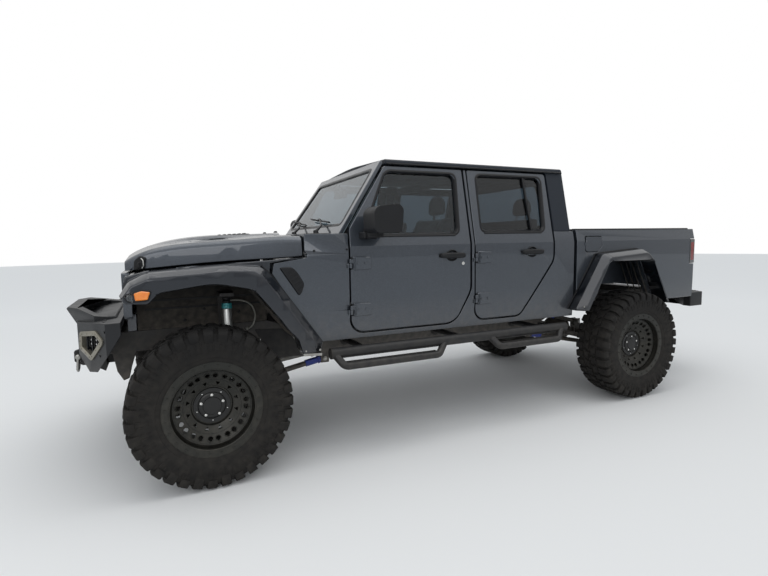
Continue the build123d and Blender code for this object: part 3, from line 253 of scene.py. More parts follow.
def metallic_paint(name, base, flake, dust):
    """Gunmetal paint: fine bright flakes under a clear coat."""
    made = finish(name, base, 0.4, metal=0.75, tone=tuple(c * 1.1 for c in base), scale=3.0, coat=1.0,
        coat_rough=0.025, dust=dust, dust_z=1.0, spread=0.03)
    tree = made.node_tree
    link = tree.links.new
    shader = tree.nodes["Principled BSDF"]
    old = shader.inputs["Base Color"].links[0].from_socket
    coord = next(n for n in tree.nodes if n.bl_idname == "ShaderNodeTexCoord")
    flakes = shader_node(tree, "TexVoronoi", {"Scale": 900.0})
    link(coord.outputs["Object"], flakes.inputs["Vector"])
    pick = shader_node(tree, "MapRange", {"From Min": 0.62, "From Max": 0.95, "To Max": 0.55})
    apart = shader_node(tree, "SeparateColor")
    link(flakes.outputs["Color"], apart.inputs[0])
    link(apart.outputs[0], pick.inputs["Value"])
    mix = shader_node(tree, "Mix", {"B": (*flake, 1)}, data_type="RGBA")
    link(pick.outputs["Result"], mix.inputs["Factor"])
    link(old, mix.inputs["A"])
    link(mix.outputs["Result"], shader.inputs["Base Color"])
    return made


def glass(name, tint):
    """Clear smooth glass with a tint."""
    made = finish(name, tint, 0.0, scale=3.0, amount=0.3)
    inputs = made.node_tree.nodes["Principled BSDF"].inputs
    for link in inputs["Roughness"].links:
        made.node_tree.links.remove(link)
    inputs["Roughness"].default_value = 0.0
    inputs["Transmission Weight"].default_value = 1.0
    inputs["IOR"].default_value = 1.45
    return made


PAINT = metallic_paint("gunmetal_paint", (0.04, 0.048, 0.06), (0.13, 0.15, 0.185), 0.35)
PAINT_DARK = metallic_paint("gunmetal_flare", (0.007, 0.01, 0.016), (0.022, 0.029, 0.042), 0.15)
TOP_BLACK = finish("hardtop_texture", (0.01, 0.014, 0.021), 0.55, spec=0.3, scale=5, grain=900, bump=0.5,
    depth=0.0006)
PLASTIC = finish("black_plastic", (0.007, 0.0075, 0.009), 0.5, spec=0.3, scale=12, grain=1200, bump=0.35,
    depth=0.0004, dust=0.2)
TRIM = finish("satin_trim", (0.007, 0.0075, 0.009), 0.35, spec=0.3, scale=12, grain=600, bump=0.1,
    depth=0.0003)
POWDER = finish("powder_coat", (0.011, 0.012, 0.014), 0.42, metal=0.05, spec=0.35, scale=9, grain=1500,
    bump=0.3, depth=0.0004, dust=0.3, dust_z=0.8)
CHASSIS = finish("chassis_paint", (0.016, 0.016, 0.017), 0.5, scale=14, tone=(0.035, 0.03, 0.026), grain=300,
    bump=0.25, depth=0.0006, dust=0.55, dust_z=0.9)
RUBBER = finish("tyre_rubber", (0.0065, 0.0065, 0.007), 0.75, scale=10, tone=(0.013, 0.0125, 0.012),
    amount=0.7, grain=700, bump=0.4, depth=0.0006, spec=0.2, dust=0.1, dust_z=0.95)
WHEEL = finish("wheel_bronze_grey", (0.019, 0.02, 0.018), 0.42, metal=0.45, spec=0.4, scale=8, grain=900,
    bump=0.12, depth=0.0003, dust=0.15, dust_z=0.8)
WHEEL_DARK = finish("wheel_satin_black", (0.014, 0.014, 0.014), 0.35, metal=0.3, scale=8, grain=700, bump=0.1,
    depth=0.0003)
STEEL = finish("zinc_steel", (0.42, 0.42, 0.4), 0.38, metal=0.9, scale=20, tone=(0.3, 0.29, 0.27), grain=800,
    bump=0.15, depth=0.0003, dust=0.35, dust_z=0.9)
BRIGHT = finish("bright_stud", (0.62, 0.62, 0.6), 0.25, metal=1.0, scale=30, grain=500, bump=0.1,
    depth=0.0002)
CAST = finish("cast_alloy", (0.33, 0.33, 0.32), 0.55, metal=0.8, scale=16, tone=(0.2, 0.19, 0.18), grain=450,
    bump=0.5, depth=0.0008, dust=0.5, dust_z=0.95)
EXHAUST = finish("exhaust_steel", (0.36, 0.33, 0.3), 0.42, metal=0.85, scale=7, tone=(0.24, 0.19, 0.15),
    grain=500, bump=0.2, depth=0.0004, dust=0.5)
TEAL = finish("shock_teal", (0.03, 0.24, 0.26), 0.35, metal=0.3, scale=10, grain=500, bump=0.1, depth=0.0002,
    coat=0.5)
SILVER = finish("shock_silver", (0.5, 0.51, 0.5), 0.33, metal=0.9, scale=14, grain=500, bump=0.1,
    depth=0.0002, dust=0.3)
BLUE = finish("link_blue", (0.02, 0.05, 0.32), 0.4, metal=0.2, scale=10, grain=500, bump=0.1, depth=0.0002,
    dust=0.3)
CHAMPAGNE = finish("ring_champagne", (0.3, 0.28, 0.23), 0.4, metal=0.7, scale=12, tone=(0.2, 0.19, 0.16),
    grain=600, bump=0.2, depth=0.0003)
CLOTH = finish("seat_cloth", (0.028, 0.028, 0.03), 0.85, scale=30, grain=1600, bump=0.6, depth=0.0008,
    sheen=0.3)
LEATHER = finish("bar_vinyl", (0.02, 0.02, 0.021), 0.6, scale=20, grain=700, bump=0.5, depth=0.0006)
DASH = finish("dash_plastic", (0.025, 0.025, 0.027), 0.6, scale=9, grain=1300, bump=0.4, depth=0.0005)
LINER = finish("liner_plastic", (0.009, 0.009, 0.0095), 0.75, spec=0.25, scale=11, grain=500, bump=0.4,
    depth=0.0008, dust=0.5, dust_z=1.2)
ENGINE = finish("engine_cast", (0.12, 0.12, 0.12), 0.55, metal=0.6, scale=13, grain=400, bump=0.5,
    depth=0.001, dust=0.4)
LAMP_GREY = finish("reflector", (0.5, 0.5, 0.5), 0.15, metal=1.0, scale=40, grain=120, bump=0.1, depth=0.0005)
RED = finish("tail_red", (0.16, 0.008, 0.008), 0.15, scale=18, tone=(0.25, 0.015, 0.012), coat=1.0)
AMBER = finish("marker_amber", (0.85, 0.22, 0.02), 0.18, scale=60, tone=(0.95, 0.33, 0.04), coat=1.0)
SMOKE = finish("smoked_lens", (0.05, 0.05, 0.05), 0.12, scale=18, coat=1.0)
SPRING = finish("spring_black", (0.02, 0.02, 0.022), 0.35, metal=0.2, scale=14, grain=400, bump=0.15,
    depth=0.0003, coat=0.3)
WINDOW = glass("window_glass", (0.27, 0.35, 0.4))
REAR_WINDOW = glass("rear_window_glass", (0.16, 0.19, 0.22))
LENS = glass("lamp_glass", (0.92, 0.94, 0.95))
MIRROR = finish("mirror_glass", (0.75, 0.78, 0.8), 0.03, metal=1.0, scale=5, grain=80, bump=0.02,
    depth=0.0001, spread=0.01)
HOSE = finish("braided_hose", (0.3, 0.3, 0.27), 0.5, metal=0.5, scale=60, tone=(0.18, 0.17, 0.15), grain=900,
    bump=0.4, depth=0.0004)
TANK = finish("tank_plastic", (0.52, 0.51, 0.46), 0.45, scale=9, tone=(0.42, 0.4, 0.34), grain=250, bump=0.1,
    depth=0.0004)


# ================================================================ building
def sides_of(axis):
    """An axis made unit length, and two directions square to it."""
    axis = Vector(axis).normalized()
    side = axis.orthogonal().normalized()
    return axis, side, axis.cross(side)


class Shape:
    """Gathers solids into one mesh, then becomes a piece that rides on a body."""

    def __init__(self):
        self.bm = bmesh.new()

    def loop_skin(self, loops, closed=False):
        """Skins equal rings of points; the last joins the first if closed, otherwise both ends are capped."""
        count, total = len(loops[0]), len(loops)
        made = [self.bm.verts.new(p) for loop in loops for p in loop]
        faces = []
        for k in range(total if closed else total - 1):
            a, b = k * count, ((k + 1) % total) * count
            faces += [(a + i, a + (i + 1) % count, b + (i + 1) % count, b + i) for i in range(count)]
        if not closed:
            faces += [tuple(reversed(range(count))), tuple(range((total - 1) * count, total * count))]
        for face in faces:
            self.bm.faces.new([made[i] for i in face])

    def prism(self, outline, low, high):
        """Extrudes (x, z) corners along Y."""
        self.loop_skin([[(x, y, z) for x, z in outline] for y in (low, high)])

    def box(self, centre, size, turn=Matrix.Identity(3)):
        x, y, z = (s / 2 for s in size)
        self.loop_skin([[Vector(centre) + turn @ Vector((*p, level)) for p in rect(-x, -y, x, y)]
            for level in (-z, z)])

    def lathe(self, centre, axis, profile, turns=48):
        """Turns (along, radius) points round an axis; a radius of 0 closes the end."""
        axis, side, other = sides_of(axis)
        self.loop_skin([[Vector(centre) + axis * along + (side * cos(a) + other * sin(a)) * max(radius, 1e-5)
            for a in angles(turns)] for along, radius in profile])

    def hoop(self, axis, section, turns=36, centre=(0, 0, 0)):
        """Carries a closed (along, radius) section round an axis."""
        axis, side, other = sides_of(axis)
        loops = []
        for a in angles(turns):
            out = side * cos(a) + other * sin(a)
            loops.append([Vector(centre) + axis * along + out * r for along, r in section])
        self.loop_skin(loops, closed=True)

    def ring(self, centre, axis, radius, thick, turns=36, sides=8):
        self.hoop(axis, [(thick * sin(a), radius + thick * cos(a)) for a in angles(sides)], turns, centre)

    def hexagon(self, centre, axis, radius, height):
        """A bolt head on a washer, with a chamfered top."""
        self.lathe(centre, axis, [(0, radius * 1.25), (height * 0.2, radius * 1.25),
            (height * 0.2, radius * 0.9)], 16)
        self.lathe(centre, axis, [(0, radius), (height * 0.85, radius), (height, radius * 0.82), (height, 0)],
            6)

    def tube(self, points, radius, sides=12, radii=None):
        """A round bar through points, with mitred turns."""
        points = [Vector(p) for p in points]
        loops = []
        last = None
        for i, p in enumerate(points):
            along = (points[min(i + 1, len(points) - 1)] - points[max(i - 1, 0)]).normalized()
            last = along.orthogonal().normalized() if last is None else (last
                - along * last.dot(along)).normalized()
            other = along.cross(last)
            r = radii[i] if radii else radius
            loops.append([p + (last * cos(t) + other * sin(t)) * r for t in angles(sides)])
        self.loop_skin(loops)

    def flip(self, geometry):
        """Turns geometry over to the other side of the vehicle."""
        for v in (g for g in geometry if isinstance(g, bmesh.types.BMVert)):
            v.co.y = -v.co.y
        bmesh.ops.reverse_faces(self.bm, faces=[g for g in geometry if isinstance(g, bmesh.types.BMFace)])

    def mirror(self):
        """Adds the same on the other side of the vehicle."""
        everything = self.bm.verts[:] + self.bm.edges[:] + self.bm.faces[:]
        self.flip(bmesh.ops.duplicate(self.bm, geom=everything)["geom"])
        return self

    def done(self, name, slot, material, body="root", weld=False, **edges):
        if weld:
            bmesh.ops.remove_doubles(self.bm, verts=self.bm.verts[:], dist=1e-5)
        return dress(self.to_mesh(name), name, body, slot, material, **edges)

    def to_mesh(self, name):
        bmesh.ops.recalc_face_normals(self.bm, faces=self.bm.faces[:])
        mesh = bpy.data.meshes.new(name)
        self.bm.to_mesh(mesh)
        self.bm.free()
        return mesh


def dress(mesh, name, body, slot, material, bevel=0.0, steps=2, smooth=35.0, replaces=(), fine=0,
        weighed=False):
    """Makes a mesh into a piece: shading, rounded edges, finish and body."""
    mesh.shade_smooth()
    mesh.set_sharp_from_angle(angle=radians(smooth))
    mesh.materials.clear()
    mesh.materials.append(material)
    ob = add_object(name, mesh)
    if bevel:
        edge = ob.modifiers.new("edge", "BEVEL")
        edge.width = bevel
        edge.segments = steps
        edge.limit_method = "WEIGHT" if weighed else "ANGLE"
        edge.angle_limit = radians(smooth)
        edge.use_clamp_overlap = not weighed
    if fine:
        sub = ob.modifiers.new("fine", "SUBSURF")
        sub.levels = sub.render_levels = fine
    if replaces:
        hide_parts(*replaces)
    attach(ob, body)
    return ob


def body_of(node):
    return next(name for name, nodes in frame["record"]["behaviour"]["bodies"].items() if node in nodes)


def slot_of(node):
    return next(s["material_slot"] for s in frame["record"]["subparts"] if s["node"] == node)


bpy.context.scene.view_settings.view_transform = "Standard"
place_camera()
light_stage()
lay_floor()

LOOKS = {"frame": CHASSIS, "cross_members": CHASSIS, "suspension_towers": CHASSIS, "body_mounts": PLASTIC,
    "steering_box": CAST, "front_bumper": POWDER, "rear_bumper": POWDER, "front_axle": CHASSIS,
    "rear_axle": CHASSIS, "suspension_links": CHASSIS, "coil_springs": SPRING, "dampers": SILVER,
    "engine": ENGINE, "drivetrain": CAST, "exhaust": EXHAUST, "fuel_tank": PLASTIC, "side_steps": POWDER,
    "cab_tub": PAINT, "windscreen_frame": PAINT, "hardtop": TOP_BLACK, "fixed_glass": WINDOW, "hood": PAINT,
    "grille": PAINT, "front_lamps": TRIM, "flares": PAINT_DARK, "wheel_liners": LINER, "load_bed": PAINT,
    "tailgate": PAINT, "fuel_door": PAINT, "tail_lamps": RED, "seats": CLOTH, "dashboard": DASH,
    "steering_wheel": DASH, "sport_bar": LEATHER, "tie_rod": STEEL, "drag_link": STEEL, "pitman_arm": STEEL,
    "mirror_fl": PLASTIC, "mirror_fr": PLASTIC, "knuckle_fl": CAST, "knuckle_fr": CAST}
for corner in WHEELS:
    LOOKS["tyre_" + corner] = RUBBER
    LOOKS["rim_" + corner] = WHEEL
    LOOKS["door_" + corner] = PAINT
    LOOKS["door_" + corner + "_glass"] = WINDOW if corner[0] == "f" else REAR_WINDOW
for node, material in LOOKS.items():
    for place in NODES[node].material_slots:
        place.material = material


# ================================================================ panels
CELL = 0.07                           # length of the short faces that a bowed panel is cut into
STEP_REACH = 1.3                      # an edge shorter than this share of the rounding is a step
TURN_COS = 0.64                       # a sharper turn than this off a sharp edge takes no rounding


def cut(bm, axis, places):
    """Cuts the faces along the planes at these places on an axis."""
    normal = Vector([float(k == axis) for k in range(3)])
    for place in places:
        bmesh.ops.bisect_plane(bm, geom=bm.verts[:] + bm.edges[:] + bm.faces[:], plane_co=normal * place,
            plane_no=normal)


def barrel(bm):
    """Draws the lower body side in a little towards the sill."""
    cut(bm, 2, (0.76, 0.82, 0.88, 0.94, BARREL_Z))
    for v in bm.verts:
        if abs(v.co.y) > 0.7 and v.co.z < BARREL_Z:
            v.co.y -= (1 if v.co.y > 0 else -1) * BARREL_IN * ((BARREL_Z - v.co.z) / BARREL_RUN) ** 2


def tub(bm):
    """Joins slivers too narrow for the rounded edges."""
    bmesh.ops.dissolve_degenerate(bm, dist=0.0014, edges=bm.edges[:])
    barrel(bm)


def cells(bm):
    """Cuts the long bowed faces into short ones, so that each stays a simple outline."""
    for axis, low, high in ((0, -2.0, 2.7), (2, 0.7, 1.3)):
        cut(bm, axis, [low + k * CELL for k in range(1, int((high - low) / CELL))])


def weigh_edges(bm, width, angle):
    """Marks the sharp edges to be rounded, save where a step shorter than the rounding turns off them."""
    layer = bm.edges.layers.float.new("bevel_weight_edge")

    def sharp(e):
        return len(e.link_faces) == 2 and e.calc_face_angle(0.0) > radians(angle)

    def way(e, v):
        return (e.other_vert(v).co - v.co).normalized()

    tight = set()
    for e in bm.edges:
        if e.calc_length() < width * STEP_REACH:
            for v in e.verts:
                if any(abs(way(e, v).dot(way(f, v))) < TURN_COS for f in v.link_edges if f is not e
                        and sharp(f)):
                    tight.add(v)
    for e in bm.edges:
        if sharp(e) and not tight.intersection(e.verts):
            e[layer] = 1.0


def panel(node, width, form=None, steps=2, angle=32.0):
    """A CAD node's shape with its edges rounded, which shows in its place."""
    bm = bmesh.new()
    bm.from_mesh(NODES[node].data)
    bmesh.ops.remove_doubles(bm, verts=bm.verts[:], dist=2e-6)
    bmesh.ops.dissolve_limit(bm, angle_limit=radians(0.5), verts=bm.verts[:], edges=bm.edges[:])
    if form:
        form(bm)
    weigh_edges(bm, width, angle)
    mesh = bpy.data.meshes.new(node + "_skin")
    bm.to_mesh(mesh)
    bm.free()
    dress(mesh, node + "_skin", body_of(node), slot_of(node), LOOKS[node], bevel=width, steps=steps,
        smooth=angle, replaces=(node,), weighed=True)


PANELS = {"cab_tub": (0.0025, tub), "load_bed": (0.004, barrel), "tailgate": (0.003, None),
    "fuel_door": (0.001, None), "windscreen_frame": (0.004, None), "hardtop": (0.007, None),
    "grille": (0.003, None), "hood": (0.004, None), "front_bumper": (0.003, None),
    "rear_bumper": (0.003, None), "frame": (0.004, None), "cross_members": (0.004, None),
    "suspension_towers": (0.003, None), "dashboard": (0.008, None), "fuel_tank": (0.01, None),
    "mirror_fl": (0.003, None), "mirror_fr": (0.003, None)}
for corner in WHEELS:
    PANELS["door_" + corner] = (0.004, barrel)
for node, (width, form) in PANELS.items():
    panel(node, width, form)
panel("flares", 0.008, cells, 3, 24.0)


# ================================================================ wheels
def wheel_place(corner):
    """Where a wheel modelled at the origin with its outer face towards +Y goes."""
    x, side = WHEELS[corner]
    turn = Matrix.Identity(4) if side > 0 else Matrix.Rotation(pi, 4, "Z")
    return Matrix.Translation((x, side * HALF_TRACK, HUB_Z)) @ turn


def spread(shape, name, slot, material, replaces=None, smooth=35.0):
    """One wheel's piece at each of the four wheels."""
    first = shape.to_mesh(name)
    for corner in WHEELS:
        mesh = first.copy()
        mesh.transform(wheel_place(corner))
        hidden = (replaces + corner,) if replaces else ()
        dress(mesh, name + "_" + corner, "wheel_" + corner, slot, material, smooth=smooth, replaces=hidden)
    bpy.data.meshes.remove(first)


LUGS = 35
TREAD_R, SHOULDER_Y = 0.43, 0.15      # a block's corners past either of these are softened
RING_FACE = 0.135                     # outboard face of the bolted ring, from the wheel's middle plane
DISC_INNER, DISC_OUTER = (0.118, 0.046), (0.216, 0.094)   # radius and height of the dished disc


def around(angle, y, r):
    """A point at a radius and an angle from the top of a wheel modelled at the origin."""
    return Vector((r * sin(angle), y, r * cos(angle)))


def tread_block(shape, angle, half, outline, skew=0.0, soft=0.0026):
    """A rubber block: a (y, r) outline carried over an angle, its ends lower and its sides skewed."""
    loops = []
    for step, drop in ((-1.0, soft), (-0.86, 0.0), (0.86, 0.0), (1.0, soft)):
        ring = []
        for y, r in outline:
            side = (y > SHOULDER_Y) - (y < -SHOULDER_Y)
            ring.append(around(angle + half * step + skew * y, y - 0.7 * drop * side,
                r - drop * (r > TREAD_R)))
        loops.append(ring)
    shape.loop_skin(loops)


def build_tyres():
    tyre = Shape()
    outer = [(-0.104, 0.2545), (-0.128, 0.262), (-0.137, 0.278), (-0.14, 0.283), (-0.1425, 0.3),
        (-0.1455, 0.303), (-0.1515, 0.335), (-0.1535, 0.36), (-0.1505, 0.392), (-0.144, 0.418),
        (-0.133, 0.434), (-0.115, 0.4415), (-0.06, 0.4435), (0.0, 0.444)]
    inner = [(0.075, 0.2545), (0.125, 0.335), (0.116, 0.418), (0.0, 0.426)]
    section = outer + [(-y, r) for y, r in reversed(outer[:-1])] + inner + [(-y, r)
        for y, r in reversed(inner[:-1])]
    tyre.loop_skin([[around(a, y, r) for y, r in section] for a in angles(144)], closed=True)
    pitch = 2 * pi / LUGS
    for k in range(LUGS):
        deep = k % 2 == 0
        for side in (1, -1):
            b = (k if side > 0 else k + 0.5) * pitch
            low = 0.386 if deep else 0.402
            face = 0.1573 if deep else 0.1556
            shoulder = [(0.072, 0.438), (0.072, 0.4568), (0.112, 0.4575), (0.136, 0.4545), (0.149, 0.448),
                (face, 0.434), (face, low + 0.012), (0.151, low), (0.142, 0.41), (0.128, 0.432)]
            outline = [(side * y, r) for y, r in shoulder]
            tread_block(tyre, b, 0.335 * pitch, outline, skew=0.16 * side)
            rib = [(0.15, low - 0.006), (0.1562, low - 0.01), (0.1555, low - 0.034), (0.15, low - 0.036)]
            for lean in (-0.22, 0.22):
                tread_block(tyre, b + lean * pitch, 0.055 * pitch, [(side * y, r) for y, r in rib],
                    soft=0.001)
            wide = 0.3 if deep else 0.36
            middle = [(0.014, 0.438), (0.014, 0.4578), (0.06, 0.4572), (0.062, 0.438)]
            tread_block(tyre, b + 0.22 * pitch, wide * pitch, [(side * y, r) for y, r in middle],
                skew=-1.1 * side)
            bridge = [(0.004, 0.438), (0.004, 0.455), (0.03, 0.455), (0.03, 0.438)]
            tread_block(tyre, b - 0.27 * pitch, 0.1 * pitch, [(side * y, r) for y, r in bridge],
                skew=0.9 * side)
    for k in range(LUGS * 2):
        a = (k + 0.5) * pitch / 2
        chevron = 0.01 if k % 2 else -0.01
        for side in (1, -1):
            rib = [(0.149, 0.331), (0.1535, 0.334), (0.1547, 0.366), (0.151, 0.369)]
            tread_block(tyre, a, 0.006, [(side * y, r) for y, r in rib], skew=chevron * 8, soft=0.0006)
    spread(tyre, "tread_tyre", "tyre_rubber", RUBBER, replaces="tyre_", smooth=28.0)


def disc_height(r):
    (r0, y0), (r1, y1) = DISC_INNER, DISC_OUTER
    return y0 + (y1 - y0) * (r - r0) / (r1 - r0)


def build_wheel_trim():
    ring = Shape()
    for k in range(24):
        a = 2 * pi * (k + 0.5) / 24
        ring.hexagon(around(a, RING_FACE, 0.2555), (0, 1, 0), 0.0058, 0.0048)
    for r in (0.2735, 0.236):
        ring.hoop((0, 1, 0), [(RING_FACE - 0.003, r + 0.003), (RING_FACE + 0.0016, r + 0.001),
            (RING_FACE + 0.0016, r - 0.001), (RING_FACE - 0.003, r - 0.003)], 96)
    slope = (DISC_OUTER[1] - DISC_INNER[1]) / (DISC_OUTER[0] - DISC_INNER[0])
    for k in range(12):
        for lean in (-6.6, 6.6):
            a = 2 * pi * k / 12 + radians(lean)
            normal = around(a, 1.0, -slope)
            ring.ring(around(a, disc_height(0.186) + 0.0006, 0.186), normal, 0.0165, 0.0026, 28, 8)
    for k in range(24):
        a = 2 * pi * (k + 0.5) / 24
        ring.hexagon(around(a, disc_height(0.207) - 0.001, 0.207), (0, 1, 0), 0.003, 0.003)
    spread(ring, "wheel_hardware", "wheel_finish", WHEEL)
    groove = Shape()
    for r in (0.16, 0.2105):
        groove.ring((0, disc_height(r) + 0.0002, 0), (0, 1, 0), r, 0.0012, 96, 6)
    groove.hoop((0, 1, 0), [(0.036, 0.1035), (0.0405, 0.102), (0.0405, 0.079), (0.036, 0.0775)], 72)
    groove.lathe((0, 0, 0), (0, 1, 0), [(0.0362, 0.078), (0.044, 0.0765), (0.0485, 0.07), (0.05, 0.058),
        (0.0495, 0.053), (0.0535, 0.05), (0.056, 0.03), (0.057, 0.0)], 60)
    spread(groove, "hub_cap", "wheel_finish", WHEEL_DARK, smooth=30.0)
    studs = Shape()
    for a in angles(5):
        centre = around(a, 0.048, 0.0635)
        studs.lathe(centre, (0, 1, 0), [(-0.002, 0.0078), (0.003, 0.0078), (0.0042, 0.006), (0.0042, 0.0)],
            18)
        studs.lathe(around(a + pi / 5, 0.04, 0.0885), (0, 1, 0), [(-0.001, 0.0032), (0.0018, 0.0032),
            (0.0024, 0.0)], 12)
    spread(studs, "lug_studs", "machined_steel", BRIGHT)
    valve = Shape()
    valve.tube([around(0.4, RING_FACE - 0.03, 0.224), around(0.4, RING_FACE - 0.004, 0.2235),
        around(0.4, RING_FACE + 0.004, 0.223)], 0.004, 10, radii=[0.0045, 0.0045, 0.0032])
    spread(valve, "valve_stem", "machined_steel", TRIM)


build_tyres()
build_wheel_trim()


# ================================================================ springs and dampers
COIL_TURNS, COIL_STEPS, COIL_R, COIL_RISE = 5.6, 150, 0.053, 0.205


def build_suspension():
    coils = Shape()
    for x in (AXLE_F, AXLE_R):
        for side in (1, -1):
            points = []
            for i in range(COIL_STEPS + 1):
                t = i / COIL_STEPS
                lift = min(max((t - 0.06) / 0.88, 0.0), 1.0)
                a = 2 * pi * COIL_TURNS * t
                points.append((x + COIL_R * cos(a), side * 0.495 + COIL_R * sin(a), 0.521 + lift * COIL_RISE))
            coils.tube(points, 0.0082, 8)
            coils.lathe((x, side * 0.495, 0.512), (0, 0, 1), [(0, 0.044), (0.016, 0.044), (0.022, 0.036),
                (0.022, 0.0)], 28)
    coils.done("coils", "spring_paint", SPRING, replaces=("coil_springs",))

    tubes, ends, boots = Shape(), Shape(), Shape()
    for x, top_y, top_z in ((AXLE_F - 0.15, 0.54, 1.05), (AXLE_R - 0.13, 0.52, 0.83)):
        for side in (1, -1):
            foot = Vector((x, side * 0.56, 0.478))
            head = Vector((x, side * top_y, top_z - 0.004))
            axis = (head - foot).normalized()
            span = (head - foot).length
            tubes.lathe(foot, axis, [(0.3 * span, 0.02), (0.31 * span, 0.029), (0.86 * span, 0.0302),
                (0.87 * span, 0.028)], 28)
            tubes.lathe(foot, axis, [(0.008, 0.011), (0.32 * span, 0.011)], 20)
            ends.lathe(foot, axis, [(0.87 * span, 0.031), (0.878 * span, 0.0325), (0.9 * span, 0.0325),
                (0.906 * span, 0.031), (0.912 * span, 0.0325), (0.93 * span, 0.031), (0.935 * span, 0.02),
                (0.945 * span, 0.016)], 28)
            boots.lathe(foot, axis, [(0.93 * span, 0.024), (0.955 * span, 0.026), (0.965 * span, 0.02),
                (0.975 * span, 0.026), (span - 0.002, 0.025)], 24)
            boots.lathe(foot, axis, [(-0.008, 0.019), (0.012, 0.021), (0.022, 0.019), (0.034, 0.013)], 24)
    tubes.done("damper_tubes", "damper_silver", SILVER, replaces=("dampers",))
    ends.done("damper_caps", "damper_silver", TEAL)
    boots.done("damper_bushes", "damper_silver", PLASTIC)


build_suspension()


# ================================================================ outlines and mouldings
def offset(corners, d):
    """Moves an outline's edges out by d."""
    count = len(corners)
    area = sum(corners[i - 1][0] * corners[i][1] - corners[i][0] * corners[i - 1][1] for i in range(count))
    turn = 1 if area > 0 else -1
    made = []
    for i in range(count):
        a, b, c = (Vector(corners[(i + k) % count]) for k in (-1, 0, 1))
        n0 = turn * Vector((b.y - a.y, a.x - b.x)).normalized()
        n1 = turn * Vector((c.y - b.y, b.x - c.x)).normalized()
        made.append(tuple(b + (n0 + n1) * (d / (1 + n0.dot(n1)))))
    return made


def soften(corners, radius, steps=5):
    """Rounds an outline's corners."""
    made = []
    count = len(corners)
    for i in range(count):
        a, b, c = (Vector(corners[(i + k) % count]) for k in (-1, 0, 1))
        to_a, to_c = (a - b), (c - b)
        reach = min(radius, to_a.length * 0.48, to_c.length * 0.48)
        p0, p1 = b + to_a.normalized() * reach, b + to_c.normalized() * reach
        for k in range(steps + 1):
            t = k / steps
            made.append(tuple(p0 * (1 - t) ** 2 + b * 2 * t * (1 - t) + p1 * t ** 2))
    return made


def moulding(shape, corners, put, section):
    """A strip round an outline; section lists (offset, out), and put places (u, v, out)."""
    rings = [offset(corners, d) for d, _ in section]
    shape.loop_skin([[put(*rings[j][k], section[j][1]) for j in range(len(section))]
        for k in range(len(corners))], closed=True)


def plate(shape, corners, put, low, high, chamfer=0.0):
    """A flat piece on an outline, between two heights, its upper edge chamfered."""
    levels = [(0.0, low), (0.0, high - chamfer)] + ([(-chamfer, high)] if chamfer else [])
    shape.loop_skin([[put(u, v, out) for u, v in (offset(corners, d) if d else corners)]
        for d, out in levels])


def skin_y(z):
    """How far out the body side is at a height."""
    lean = max(0.0, z - BELT_Z) * (SKIN - ROOF_Y) / (ROOF_Z - BELT_Z)
    return SKIN - lean - max(0.0, BARREL_Z - z) ** 2 * BARREL_IN / BARREL_RUN ** 2


def on_side(x, z, out):
    """A point off the left body side."""
    return at(x, skin_y(z) + out, z)


def on_flat(x, z, out):
    """A point off the left side's flat middle."""
    return at(x, SKIN + out, z)


GRILLE_X, TAILGATE_X = 0.44, -4.456   # from the front axle


def on_front(y, z, out):
    """A point off the grille."""
    return at(GRILLE_X + out, y, z)


def on_back(y, z, out):
    """A point off the tailgate."""
    return at(TAILGATE_X - out, y, z)


NOSE_OUT = Vector((0.866, 0.499, 0))  # the way that the bumper's left corner faces


def nose(along, z, out):
    """A point off the slanted left corner of the front bumper."""
    return at(0.7, 0.42, z) + Vector((-NOSE_OUT.y, NOSE_OUT.x, 0)) * along + NOSE_OUT * out


SCREEN_FOOT, SCREEN_RUN = (-0.852, 1.442), (-0.5706, 0.8212)


def on_screen(y, up, out):
    """A point off the windscreen, measured up its slope."""
    return at(SCREEN_FOOT[0] + SCREEN_RUN[0] * up + SCREEN_RUN[1] * out, y,
        SCREEN_FOOT[1] + SCREEN_RUN[1] * up - SCREEN_RUN[0] * out)


